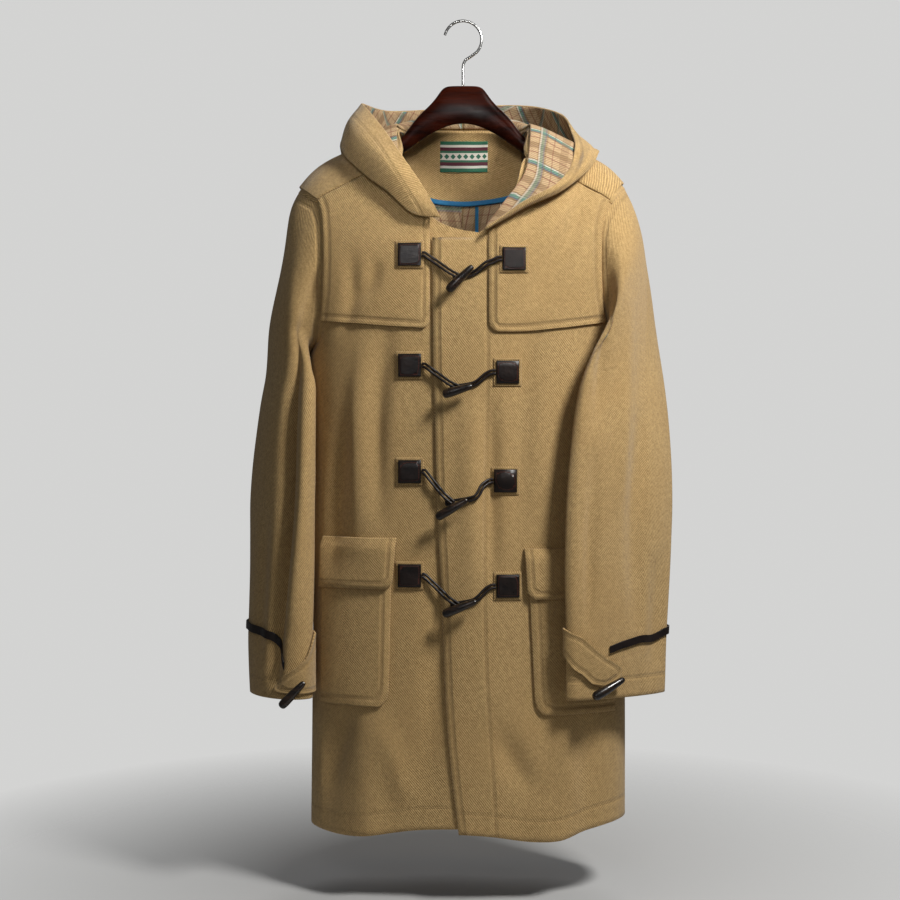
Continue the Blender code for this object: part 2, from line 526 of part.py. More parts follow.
def cut_out(grid, near=None, far=None, top=None, bottom=None, margin=0.12):
    """The part of a grid between four edges, as a grid of its own.

    near and far are functions that give x for a height, top and bottom give z for an x, or
    each is a line of the grid by its index. An edge left out is the grid's own. The new grid
    keeps every line of the old one that it covers.
    """
    rows, columns = grid.points.shape[:2]
    corners = {}
    for up, z_edge, own_row in (("top", top, 0.0), ("bottom", bottom, rows - 1.0)):
        for side, x_edge, own_column in (("near", near, 0.0), ("far", far, columns - 1.0)):
            row = rows / 2 if callable(z_edge) else line_index(z_edge, rows, own_row)
            column = (columns / 2 if callable(x_edge)
                      else line_index(x_edge, columns, own_column))
            corners[up, side] = corner(grid, x_edge, z_edge, row, column)
    first_column = max(corners["top", "near"][1], corners["bottom", "near"][1])
    last_column = min(corners["top", "far"][1], corners["bottom", "far"][1])
    inner_columns = [c for c in range(columns)
                     if first_column + margin < c < last_column - margin]

    def inner_edge(up, z_edge):
        own = corners[up, "near"][0]
        places = [(find_row(grid, column, z_edge) if callable(z_edge) else own, column)
                  for column in inner_columns]
        return [corners[up, "near"]] + places + [corners[up, "far"]]

    return between(grid, inner_edge("top", top), inner_edge("bottom", bottom), near, far, margin)


def between(grid, above, below, near=None, far=None, margin=0.12):
    """The part of a grid between two lines of places, each place a row and a column."""
    first_row = min(row for row, _ in above)
    last_row = max(row for row, _ in below)
    inner_rows = [r for r in range(grid.points.shape[0])
                  if first_row + margin < r < last_row - margin]
    lines = [above]
    for k, wanted in enumerate(inner_rows):
        line = []
        for j, (high, low) in enumerate(zip(above, below)):
            least = min(0.06, (low[0] - high[0]) / (2 * len(inner_rows) + 2))
            row = min(max(wanted, high[0] + least * (k + 1)),
                      low[0] - least * (len(inner_rows) - k))
            edge = near if j == 0 else (far if j == len(above) - 1 else None)
            line.append((row, find_column(grid, row, edge) if callable(edge) else high[1]))
        lines.append(line)
    lines.append(below)
    found = [[at_index(grid, *place) for place in line] for line in lines]
    return Grid(np.array([[place[0] for place in line] for line in found]),
                np.array([[place[1] for place in line] for line in found]))


def place_on(grid, x, z, lift):
    """Point above a grid's own facets at x and z."""
    rows, columns = grid.points.shape[:2]
    row, column = corner(grid, constant(x), constant(z), rows / 2, columns / 2)
    point, normal = at_index(grid, row, column)
    return point + normal / np.linalg.norm(normal) * lift


def lifted(grid, height):
    return Grid(grid.points + grid.normals * height, grid.normals)


def smooth_normals(points, closed=False):
    """Normals of a grid by central differences; closed joins its last column to its first."""
    if closed:
        around = np.roll(points, -1, axis=1) - np.roll(points, 1, axis=1)
    else:
        around = np.gradient(points, axis=1)
    along = np.gradient(points, axis=0)
    normal = np.cross(along, around)
    return normal / np.maximum(np.linalg.norm(normal, axis=-1, keepdims=True), 1e-12)


# ---------------------------------------------------------------- objects and materials
def clear_scene():
    for thing in list(bpy.data.objects):
        bpy.data.objects.remove(thing)


def new_material(name, colour, roughness, metallic=0.0):
    material = bpy.data.materials.new(name)
    material.use_nodes = True
    shader = material.node_tree.nodes["Principled BSDF"]
    shader.inputs["Base Color"].default_value = (*colour, 1)
    shader.inputs["Roughness"].default_value = roughness
    shader.inputs["Metallic"].default_value = metallic
    return material


def add_object(name, data, material):
    thing = bpy.data.objects.new(name, data)
    COLLECTION.objects.link(thing)
    data.materials.append(material)
    return thing


def mesh_object(name, vertices, faces, material):
    mesh = bpy.data.meshes.new(name)
    mesh.from_pydata([tuple(float(v) for v in vertex) for vertex in vertices], [], faces)
    mesh.validate()
    volume = 0.0
    for polygon in mesh.polygons:
        corners = [mesh.vertices[i].co for i in polygon.vertices]
        for i in range(1, len(corners) - 1):
            volume += corners[0].dot(corners[i].cross(corners[i + 1]))
    if volume < 0:
        mesh.flip_normals()
    mesh.update()
    return add_object(name, mesh, material)


def cloth(name, outer, inner, material):
    """A wall of cloth between two grids of points, closed all round its edge."""
    rows, columns = outer.shape[:2]
    count = rows * columns
    vertices = np.concatenate([outer.reshape(-1, 3), inner.reshape(-1, 3)])
    faces = []
    for r in range(rows - 1):
        for c in range(columns - 1):
            a = r * columns + c
            for corners in ((a, a + 1, a + columns + 1), (a, a + columns + 1, a + columns)):
                faces.append(corners)
                faces.append(tuple(i + count for i in reversed(corners)))
    edge = [c for c in range(columns)]
    edge += [r * columns + columns - 1 for r in range(1, rows)]
    edge += [(rows - 1) * columns + c for c in range(columns - 2, -1, -1)]
    edge += [r * columns for r in range(rows - 2, 0, -1)]
    for i, a in enumerate(edge):
        b = edge[(i + 1) % len(edge)]
        faces.append((b, a, a + count, b + count))
    return mesh_object(name, vertices, faces, material)


def wall(name, grid, thickness, material, lift=0.0):
    """Cloth whose inner face is lifted off the grid, or, with no lift, lies inside it."""
    if lift > 0:
        return cloth(name, grid.points + grid.normals * (lift + thickness),
                     grid.points + grid.normals * lift, material)
    return cloth(name, grid.points + grid.normals * lift,
                 grid.points + grid.normals * (lift - thickness), material)


def tube(name, points, radius, material, radii=None, sides=2):
    """A round cord, wire or horn along a line of points; radii scale it from point to point."""
    line = bpy.data.curves.new(name, "CURVE")
    line.dimensions = "3D"
    line.bevel_depth = radius
    line.bevel_resolution = sides
    line.use_fill_caps = True
    spline = line.splines.new("POLY")
    spline.points.add(len(points) - 1)
    for i, place in enumerate(points):
        spline.points[i].co = (*[float(v) for v in place], 1)
        spline.points[i].radius = 1.0 if radii is None else radii[i]
    return add_object(name, line, material)


def spline_through(places, steps):
    """Smooth line through a few places, with a number of steps in each span."""
    places = [np.array(place, float) for place in places]
    padded = [2 * places[0] - places[1]] + places + [2 * places[-1] - places[-2]]
    line = []
    for i in range(1, len(padded) - 2):
        p0, p1, p2, p3 = padded[i - 1:i + 3]
        count = steps[i - 1] if isinstance(steps, (tuple, list)) else steps
        for k in range(count):
            t = k / count
            line.append(0.5 * (2 * p1 + (p2 - p0) * t + (2 * p0 - 5 * p1 + 4 * p2 - p3) * t * t
                               + (3 * p1 - p0 - 3 * p2 + p3) * t ** 3))
    line.append(places[-1])
    return np.array(line)


# ---------------------------------------------------------------- body panels
LEFT_LEVELS = (-0.310, -0.352, -0.3945, -0.430, -0.458, -0.530, -0.610, -0.700, -0.713,
               -0.767, -0.830, -0.897, -0.970, -1.030)
RIGHT_LEVELS = (-0.310, -0.352, -0.3945, -0.430, -0.458, -0.530, -0.610, -0.714, -0.727,
                -0.780, -0.840, -0.905, -0.975, -1.030)
FAN_STEPS = 3            # rows between neckline and shoulder seam, and the level below them
SIDE_SHARES = (0.0, 0.30, 0.55, 0.74, 0.87)


def side_columns(inner_x, side, z):
    """x of the columns between the front's middle and its side seam or armhole."""
    edge = half_width(z) if z <= UNDERARM_Z + 1e-9 else front_armhole(z)
    outer_x = float(centre_x(z) + side * edge)
    columns = [inner_x + share * (outer_x - inner_x) for share in SIDE_SHARES]
    return columns + [outer_x - side * SIDE_STRIP, outer_x]


def front_inner_columns(side, z):
    if side < 0:
        return [LAP_END_X, float(lap_edge(z)) - 0.0018, PATCH_LEFT_X, POCKET_LEFT_X]
    return [float(lap_edge(z)), float(facing_stitch(z)), float(patch_right(z)), LAP_FADE_X]


def front_top_places(side):
    """Top edge of a front, as (x, z) for each column: neckline, then shoulder seam."""
    neck = curve(FRONT_NECK, "x", "drop")
    if side < 0:
        middle = [(LAP_END_X, -0.303)]
        hood_x = (0.041, 0.066, JUNCTION_X)
    else:
        middle = [(float(lap_edge(YOKE_Z)), -0.309)]
        hood_x = (NECK_END_X + 0.001, 0.066, JUNCTION_X)
    places = middle + [(side * x, float(ridge_z(x) - neck(x))) for x in hood_x]
    end_x = float(centre_x(-0.2575) + side * 0.1975)
    start_x = side * JUNCTION_X
    for share in SIDE_SHARES[1:]:
        x = start_x + share * (end_x - start_x)
        places.append((x, float(ridge_z(abs(x))) - SEAM_DROP))
    for x in (end_x - side * SIDE_STRIP, end_x):
        places.append((x, float(ridge_z(abs(x))) - SEAM_DROP))
    return [(x, z - SEAM / 2) for x, z in places]


def grid_on_form(xs, zs, side):
    turn = turn_at(xs, zs, side)
    return Grid(form_point(xs, turn), form_normal(xs, turn))


def with_side_seam(grid, first_row, side, facing):
    """Sets the two last columns of a body panel square to the side seam, below the armhole."""
    points, normals = grid.points.copy(), grid.normals.copy()
    for r in range(first_row, points.shape[0]):
        z = points[r, -1, 2]
        x = centre_x(z) + side * half_width(z)
        middle = middle_y(x)
        points[r, -1] = (x, middle + facing * SEAM / 2, z)
        points[r, -2] = (x - side * 0.0002, middle + facing * SIDE_STRIP, points[r, -2, 2])
        normals[r, -1] = (side, 0, 0)
        normals[r, -2] = (side, 0, 0)
    return Grid(points, normals)


def front_grid(side):
    """Grid of one front panel, on its outer face: side is -1 for the left, 1 for the right."""
    levels = LEFT_LEVELS if side < 0 else RIGHT_LEVELS
    level_rows = [front_inner_columns(side, z)[:-1]
                  + side_columns(front_inner_columns(side, z)[-1], side, z)
                  for z in levels]
    count = len(level_rows[0])
    top = front_top_places(side)
    xs, zs = [[x for x, _ in top]], [[z for _, z in top]]
    for k in range(1, FAN_STEPS):
        share = k / FAN_STEPS
        row_x = [a + share * (b - a) for a, b in zip(xs[0], level_rows[0])]
        row_z = [a + share * (YOKE_Z - a) for a in zs[0]]
        arm_x = float(centre_x(row_z[-1]) + side * front_armhole(row_z[-1]))
        row_x[-2:] = [arm_x - side * SIDE_STRIP, arm_x]
        xs.append(row_x)
        zs.append(row_z)
    for z, row in zip(levels, level_rows):
        xs.append(row)
        zs.append([z] * count)
    hem = left_hem if side < 0 else right_hem
    bottom = front_inner_columns(side, -1.085)[:-1] + side_columns(
        front_inner_columns(side, -1.085)[-1], side, -1.085)
    xs.append(bottom)
    zs.append([float(hem(x)) for x in bottom])
    xs, zs = np.array(xs), np.array(zs)
    grid = grid_on_form(xs, zs, -1)
    grid = with_side_seam(grid, FAN_STEPS + levels.index(UNDERARM_Z), side, -1)
    if side > 0:
        fade = 1 - smooth_step((grid.points[..., 0] - facing_stitch(grid.points[..., 2]))
                               / (LAP_FADE_X - 0.031))
        over = (CLOTH + LAYER_GAP * 1.5) * fade
        grid = Grid(grid.points + grid.normals * over[..., None], grid.normals)
    return grid


BACK_TURNS = (-46, -23, 0, 26, 50, 72, 90)
BACK_LEVELS = (-0.415, -0.458, -0.530, -0.610, -0.700, -0.790, -0.880, -0.970, -1.030)
BACK_SHARES = (0.0, 0.13, 0.26, 0.39, 0.49, 0.58, 0.68, 0.78, 0.87, 0.935)


def back_half_grid(side):
    """Grid of one half of the back, from the centre seam to the side, on its outer face."""
    neck_x = curve([NeckRow(i, row.x) for i, row in enumerate(BACK_NECK)], "x", "drop")
    neck_turn = curve([NeckRow(i, row.turn) for i, row in enumerate(BACK_NECK)], "x", "drop")
    neck_places = [(float(neck_x(i)), float(neck_turn(i))) for i in (0, 1.4, 2.8, 4.0, 5.0, 6)]
    end_x = 0.1975 + side * float(centre_x(-0.2575))
    seam_start = neck_places[-1][0]
    seam_x = [seam_start + share * (end_x - seam_start) for share in SIDE_SHARES[1:]]
    top = neck_places + [(x, BACK_TURNS[0]) for x in seam_x]
    top += [(end_x - SIDE_STRIP, BACK_TURNS[0]), (end_x, BACK_TURNS[0])]
    count = len(top)
    rows_x, rows_turn = [], []
    for turn in BACK_TURNS:
        share = (turn - BACK_TURNS[0]) / (90 - BACK_TURNS[0])
        # at the quarter turn the columns are spread evenly between centre and armhole
        edge = float(back_armhole_top(turn)) + side * float(centre_x(-0.30))
        if turn == BACK_TURNS[0]:
            edge = end_x
        spread = [edge * s for s in BACK_SHARES] + [edge - SIDE_STRIP, edge]
        row_x = [a + share ** 0.7 * (b - a) for (a, _), b in zip(top, spread)]
        row_x[-2:] = [edge - SIDE_STRIP, edge]
        row_turn = [a + share * (90 - a) for _, a in top]
        rows_x.append([side * x for x in row_x])
        rows_turn.append([math.radians(a) for a in row_turn])
    xs, turns = np.array(rows_x), np.array(rows_turn)
    # the shoulder seam gives way by half the seam's gap
    turns[0, 5:] += SEAM / 2 / 0.11
    upper = Grid(form_point(xs, turns), form_normal(xs, turns))

    quarter_z = upper.points[-1, :, 2]
    lower_x, lower_z = [], []
    for level in ((quarter_z + BACK_LEVELS[0]) / 2,) + BACK_LEVELS + (None,):
        z = np.full(count, -1.083) if level is None else np.broadcast_to(level, (count,))
        edge_z = float(z[-1])
        edge = half_width(edge_z) if edge_z <= UNDERARM_Z + 1e-9 else back_armhole(edge_z)
        edge = float(edge) + side * float(centre_x(edge_z))
        row = [edge * s for s in BACK_SHARES] + [edge - SIDE_STRIP, edge]
        row = np.array([side * x for x in row])
        lower_x.append(row)
        lower_z.append(back_hem(row) if level is None else z)
    lower = grid_on_form(np.array(lower_x), np.array(lower_z), 1)
    grid = Grid(np.concatenate([upper.points, lower.points]),
                np.concatenate([upper.normals, lower.normals]))
    first = len(BACK_TURNS) + 1 + BACK_LEVELS.index(UNDERARM_Z)
    return with_side_seam(grid, first, side, 1)


def with_centre_gap(grid, side):
    points = grid.points.copy()
    points[:, 0, 0] = side * SEAM / 2
    normals = grid.normals.copy()
    normals[:, 0, 0] = 0
    return Grid(points, normals)


def whole_back(left, right):
    """Both halves of the back as one grid from the left side to the right."""
    middle = Grid(right.points[:, :1] * (0, 1, 1), right.normals[:, :1])
    return Grid(np.concatenate([left.points[:, :0:-1], middle.points, right.points[:, 1:]], axis=1),
                np.concatenate([left.normals[:, :0:-1], middle.normals, right.normals[:, 1:]],
                               axis=1))


# ---------------------------------------------------------------- sleeves
def sleeve_grid(side, table, front, back):
    """Grid of a whole sleeve: rows are rings, columns go from the top over the front.

    The first ring has the points of the armhole's own edge, so cloth meets cloth.
    """
    ridge_row = BACK_TURNS.index(0)
    underarm_front = FAN_STEPS + LEFT_LEVELS.index(UNDERARM_Z)
    underarm_back = len(BACK_TURNS) + 1 + BACK_LEVELS.index(UNDERARM_Z)
    places = [(back.points[r, -1], back.normals[r, -1]) for r in range(ridge_row, -1, -1)]
    places += [(front.points[r, -1], front.normals[r, -1]) for r in range(1, underarm_front + 1)]
    places += [(back.points[r, -1], back.normals[r, -1])
               for r in range(underarm_back - 1, ridge_row, -1)]
    hole = np.array([place for place, _ in places])
    hole_normals = np.array([normal for _, normal in places])
    first = table[0]
    angle = np.arctan2(-(hole[:, 1] - first.y) / first.depth, (hole[:, 2] - first.z) / first.rise)
    angle = np.mod(angle, 2 * math.pi)
    angle[0] = 0.0

    keys = [SleeveRing(i, 0, 0, 0, 0, 0, 0) for i in range(len(table))]
    columns = {}
    for name in SleeveRing._fields:
        rows = [NeckRow(key.x, getattr(row, name)) for key, row in zip(keys, table)]
        columns[name] = curve(rows, "x", "drop")

    def ring(v):
        value = {name: float(read(v)) for name, read in columns.items()}
        turn = math.radians(value["turn"])
        inward = value["depth"] * math.sin(turn)
        wide = math.sqrt(max(value["half_width"] ** 2 - inward ** 2, 1e-8))
        centre = np.array([side * value["x"], value["y"], value["z"]])
        out = np.array([side * wide, 0, value["rise"]])
        ahead = np.array([-side * inward, -value["depth"] * math.cos(turn), 0])
        turned = angle.copy()
        turned[underarm] += UNDERARM_DRIFT[side] * smooth_step(v / 1.5)
        return centre + np.outer(np.cos(turned), out) + np.outer(np.sin(turned), ahead)

    underarm = len(BACK_TURNS[:ridge_row + 1]) + underarm_front - 1
    start = ring(0)
    outward = np.array([side, 0, 0])
    begin = hole + outward * SEAM
    begin[underarm] += np.array([0, 0, SEAM])
    rings = [begin]
    steps = (len(table) - 1) * RINGS_BETWEEN
    levels = [0.12] + [k / RINGS_BETWEEN for k in range(1, steps + 1)]
    for v in levels:
        keep = 1 - smooth_step(v / 3.0)
        rings.append(ring(v) + (begin - start) * keep)
    points = np.array(rings)
    # eased round the armhole, and clear of the body, more and more over the first rings
    for turn in range(4):
        for r in range(1, len(points)):
            clearance = SLEEVE_CLEARANCE * min(1.0, 0.15 + levels[r - 1] * 0.7)
            moved = pushed_clear(points[r], clearance)
            x, z = points[r][:, 0], points[r][:, 2]
            within = (front_armhole(z) + 0.004 - np.abs(x - centre_x(z))) / 0.012
            over_body = smooth_step((-0.380 - z) / 0.090) * smooth_step(within)
            below_hole = smooth_step((UNDERARM_Z + 0.012 - z) / 0.018)
            share = np.maximum(over_body, below_hole)[:, None]
            points[r] = points[r] + (moved - points[r]) * share
        if turn < 3:
            last = min(12, len(points) - 1)
            eased = (points[0:last - 1] + points[2:last + 1]) / 2
            points[1:last] = (points[1:last] + eased) / 2
    normals = smooth_normals(points, closed=True)
    if np.sum(normals[-1, 0] * outward) < 0:
        normals = -normals
    for _ in range(2):
        eased = normals.copy()
        eased[1:-1] += (normals[:-2] + normals[2:]) / 2
        eased += (np.roll(normals, 1, axis=1) + np.roll(normals, -1, axis=1)) / 4
        normals = eased / np.linalg.norm(eased, axis=-1, keepdims=True)
    agree = np.sum(hole_normals * normals[0], axis=-1, keepdims=True)
    blend = smooth_step((agree - 0.45) / 0.4)
    mixed = hole_normals * blend + normals[0] * (1 - blend)
    normals[0] = mixed / np.linalg.norm(mixed, axis=-1, keepdims=True)
    return Grid(points, normals), underarm


def sleeve_half(grid, underarm, front):
    """One of the two panels of a sleeve, with half a seam's gap at its long edges."""
    count = grid.points.shape[1]
    columns = list(range(underarm + 1)) if front else list(range(underarm, count)) + [0]
    points = grid.points[:, columns].copy()
    for edge, inside in ((0, 1), (-1, -2)):
        step = points[:, inside] - points[:, edge]
        length = np.linalg.norm(step, axis=-1, keepdims=True)
        points[:, edge] += step / length * SEAM * 0.75
    return Grid(points, grid.normals[:, columns])


# ---------------------------------------------------------------- hood
def neckline_points():
    """Neckline as a line of points, from the left front end round the back to the right."""
    drop = curve(FRONT_NECK, "x", "drop")
    ahead = [np.array([x, turn_at(x, ridge_z(x) - drop(x), -1)])
             for x in np.linspace(NECK_END_X, JUNCTION_X, 24)]
    neck_x = curve([NeckRow(i, row.x) for i, row in enumerate(BACK_NECK)], "x", "drop")
    neck_turn = curve([NeckRow(i, row.turn) for i, row in enumerate(BACK_NECK)], "x", "drop")
    behind = [np.array([neck_x(i), math.radians(neck_turn(i))])
              for i in np.linspace(len(BACK_NECK) - 1.05, 0, 80)]
    half = ahead + behind
    right = np.array([form_point(x, turn) for x, turn in half])
    left = right * (-1, 1, 1)
    return np.concatenate([left[left[:, 0] < -0.0395], right[::-1][1:]])


def hood_grid():
    """Grid of the hood's outer face: columns go round the neck, rows from neck seam to rim."""
    line = neckline_points()
    sections = []
    for row in HOOD_ROWS:
        nearest = np.argmin(np.linalg.norm(line - np.array(row.neck), axis=1))
        on_lap = row.neck[0] > 0 and row.neck[2] < -0.21
        least = HOOD_START_ON_LAP if on_lap else HOOD_LIFT[0]
        start = pushed_clear(line[nearest:nearest + 1], least)[0]
        places = [start, row.stand, row.under, row.fold, row.flank, row.rim]
        sections.append(spline_through(places, HOOD_STEPS))
    sections = np.array(sections)
    # more sections between the rows, on smooth curves through them
    count = len(HOOD_ROWS)
    fine = []
    for r in range(sections.shape[1]):
        fine.append(spline_through(sections[:, r], 2))
    points = np.array(fine)
    for r in range(points.shape[0]):
        points[r] = pushed_clear(points[r], HOOD_LIFT[r])
    normals = smooth_normals(points)
    return Grid(points, normals), (count - 1)


# ---------------------------------------------------------------- what is sewn on
def square_piece(grid, near_is_right, x, z, size):
    """A square cut from a front's grid, its middle at x and z."""
    half = size / 2
    first, last = (x + half, x - half) if near_is_right else (x - half, x + half)
    return cut_out(grid, constant(first), constant(last), constant(z + half), constant(z - half))


def strand_pair(line, spread):
    """Out along one side of a line, round its end and back along the other side."""
    line = np.array(line)
    ahead = np.gradient(line, axis=0)
    ahead /= np.linalg.norm(ahead, axis=1, keepdims=True)
    aside = np.cross(ahead, (0, 1, 0))
    aside /= np.linalg.norm(aside, axis=1, keepdims=True)
    one = line + aside * spread
    other = line - aside * spread
    bend = [line[-1] + (aside[-1] * math.cos(a) + ahead[-1] * math.sin(a)) * spread
            for a in (math.radians(36), math.radians(72), math.radians(108), math.radians(144))]
    return np.concatenate([one, bend, other[::-1]])


def fastening(number, row, left, left_base, right, right_base, materials):
    """Squares, cord, loop and toggle of one fastening.

    left and right are the fronts' grids, left_base and right_base the heights on them of what
    the squares are sewn to.
    """
    trim, leather, horn = materials
    right_x = float(patch_right(row.right_z))
    for side, grid, base, x, z in (("left", left, left_base, PATCH_LEFT_X, row.left_z),
                                   ("right", right, right_base, right_x, row.right_z)):
        near_is_right = side == "left"
        lift = base + LAYER_GAP
        wall("backing_%s_%d" % (side, number),
             square_piece(grid, near_is_right, x, z, BACKING_SIZE), BACKING, trim, lift)
        wall("leather_square_%s_%d" % (side, number),
             square_piece(grid, near_is_right, x, z, PATCH_SIZE), LEATHER, leather,
             lift + BACKING + LAYER_GAP)

    on_backing = LAYER_GAP + BACKING + SEAM + CORD_RADIUS
    low = LAYER_GAP + CORD_RADIUS
    high = low + 2 * CORD_RADIUS + SEAM
    lap = CLOTH + LAYER_GAP * 1.5
    start_x = PATCH_LEFT_X + PATCH_SIZE / 2 + 0.0008
    cross = (row.cross_x, row.cross_z)
    # cord of the toggle: over the lapping edge and over the loop, to the toggle's middle
    z_at = lambda x: row.left_z + (cross[1] - row.left_z) * smooth_step(
        (x - start_x) / (cross[0] - start_x)) * 0.5 + (cross[1] - row.left_z) * 0.5 * (
        (x - start_x) / (cross[0] - start_x))
    line = [place_on(left, start_x, row.left_z, left_base + on_backing),
            place_on(left, start_x + 0.004, row.left_z - 0.0004, left_base + on_backing)]
    edge_lift = max(left_base + on_backing, lap + LAYER_GAP + CORD_RADIUS + 0.0008)
    edge_x = float(lap_edge(cross[1]))
    line.append(place_on(left, edge_x - 0.006, z_at(edge_x - 0.006), edge_lift))
    line.append(place_on(right, edge_x + 0.003, z_at(edge_x + 0.003), edge_lift - lap))
    near_x = cross[0] - 0.0115
    line.append(place_on(right, near_x, z_at(near_x), high))
    line.append(place_on(right, cross[0], cross[1], high))
    tube("toggle_cord_%d" % number, strand_pair(line, CORD_SPREAD), CORD_RADIUS, leather)
    # loop: from the right square, down on the lapping front, under the toggle
    start_x = right_x - PATCH_SIZE / 2 - 0.0008
    end_x = cross[0] - 0.0055
    drop = cross[1] - row.right_z
    places = ((start_x, 0.0, right_base + on_backing),
              (start_x - 0.0055, 0.02, right_base + on_backing),
              (start_x - 0.0115, 0.16, right_base + low + 0.0012),
              (min(0.0290, start_x - 0.0150), 0.30, right_base + low + 0.0010),
              (0.0180, 0.66, low + 0.0010), (0.0090, 0.86, low), (end_x, 1.05, low))
    line = [place_on(right, x, row.right_z + drop * share, lift) for x, share, lift in places]
    tube("loop_%d" % number, strand_pair(line, CORD_SPREAD), CORD_RADIUS, leather)
    # toggle, on top of both
    lift = high + CORD_RADIUS + SEAM * 2 + TOGGLE_RADIUS
    thick = place_on(right, row.thick_x, row.thick_z, lift)
    thin = place_on(right, row.thin_x, row.thin_z, lift + 0.001)
    toggle("toggle_%d" % number, thick, thin, np.array([0, -0.002, 0]), horn)


def cape(name, grid, near, far, bottom, material):
    edge = curve(bottom, "x", "z")
    piece = cut_out(grid, near=near, far=far, bottom=lambda x: float(edge(x)))
    wall(name, piece, CLOTH, material, LAYER_GAP)
    return piece


def pocket(side, grid, row, material):
    """A patch pocket with a cut-off lower corner, and the flap over its mouth."""
    sign = -1 if side == "left" else 1

    def edge(z):
        if z > row.round_z:
            share = (z - row.top) / (row.round_z - row.top)
            return row.edge_top_x + (row.edge_bottom_x - row.edge_top_x) * max(share, 0)
        share = min((row.round_z - z) / (row.round_z - row.bottom), 1.0)
        return row.edge_bottom_x + (row.corner_x - row.edge_bottom_x) * share ** 1.6

    piece = cut_out(grid, near=edge, far=-2.3, top=constant(row.top), bottom=constant(row.bottom))
    wall("pocket_" + side, piece, CLOTH, material, 2 * LAYER_GAP)
    flap = cut_out(grid, near=lambda z: row.flap_x - sign * 0.0 + (row.edge_top_x - row.flap_x)
                   * 0.8 * max(0, (row.flap_top - z) / (row.flap_top - row.flap_bottom)),
                   far=-2.2, top=constant(row.flap_top), bottom=constant(row.flap_bottom),
                   margin=0.05)
    lift = np.full(flap.points.shape[:2], 4 * LAYER_GAP + CLOTH)
    lift[0, :] = LAYER_GAP
    lift = lift[..., None]
    cloth("pocket_flap_" + side, flap.points + flap.normals * (lift + CLOTH),
          flap.points + flap.normals * lift, material)


def toggle(name, thick, thin, bow, material):
    """A horn toggle between two places, bowed a little in the given direction."""
    line, radii = [], []
    for part in TOGGLE_SHAPE:
        line.append(thick + (thin - thick) * part.share
                    + bow * 4 * part.share * (1 - part.share))
        radii.append(part.radius)
    tube(name, line, TOGGLE_RADIUS, material, radii)


def band(name, grid, rows, thickness, lift, material):
    """A band sewn round part of a sleeve."""
    high = curve(rows, "around", "high")
    low = curve(rows, "around", "low")
    ends = rows[0].around, rows[-1].around
    stops = [ends[0]] + [k for k in range(math.ceil(ends[0] + 0.2), math.floor(ends[1] - 0.2) + 1)]
    stops.append(ends[1])
    count = grid.points.shape[1]
    turned = Grid(np.concatenate([grid.points[:, count // 2:], grid.points], axis=1),
                  np.concatenate([grid.normals[:, count // 2:], grid.normals], axis=1))
    offset = count - count // 2
    piece = between(turned, [(float(high(k)), k + offset) for k in stops],
                    [(float(low(k)), k + offset) for k in stops])
    wall(name, piece, thickness, material, lift)


def cuff(side, grid, cloth_material, leather, horn):
    """Tab, leather strap and toggle of one cuff."""
    lift = 2 * LAYER_GAP
    band("cuff_tab_" + side, grid, CUFF_TABS[side], CLOTH, lift, cloth_material)
    band("cuff_strap_" + side, grid, CUFF_STRAPS[side], LEATHER, lift, leather)
    row = CUFF_TOGGLES[side]
    ends = []
    for ring, around in ((row.thick_ring, row.thick_around), (row.thin_ring, row.thin_around)):
        point, normal = at_index(grid, ring, around)
        ends.append(point + normal / np.linalg.norm(normal)
                    * (lift + CLOTH + SEAM * 6 + TOGGLE_RADIUS))
    toggle("cuff_toggle_" + side, ends[0], ends[1], np.array([0, -0.001, 0]), horn)


def neck_pieces(back, facing_material, tape, label_material):
    """What shows inside the back of the neck: facing, its bound edge, label and seam binding."""
    middle = (back.points.shape[1] - 1) // 2
    near, far = middle - FACING_COLUMNS, middle + FACING_COLUMNS
    edge = curve(FACING_BOTTOM, "x", "z")
    facing = cut_out(back, near=near, far=far, bottom=lambda x: float(edge(x)))
    inside = -(CLOTH + LAYER_GAP)
    wall("neck_facing", facing, FACING, facing_material, inside)
    binding = cut_out(back, near=near, far=far, top=lambda x: float(edge(x)) + BINDING_WIDTH,
                      bottom=lambda x: float(edge(x)) - 0.0005)
    on_facing = inside - FACING - 2 * LAYER_GAP
    wall("facing_binding", binding, TAPE, tape, on_facing)
    label = cut_out(back, near=constant(LABEL_X - LABEL_HALF), far=constant(LABEL_X + LABEL_HALF),
                    top=constant(LABEL_TOP), bottom=constant(LABEL_BOTTOM))
    wall("neck_label", label, TAPE, label_material, on_facing)
    half = BACK_BINDING_WIDTH / 2
    strip = cut_out(back, near=constant(BACK_BINDING_X - half),
                    far=constant(BACK_BINDING_X + half),
                    top=lambda x: float(edge(x)) - 0.0012, bottom=constant(-1.060))
    wall("centre_back_binding", strip, TAPE, tape, inside)


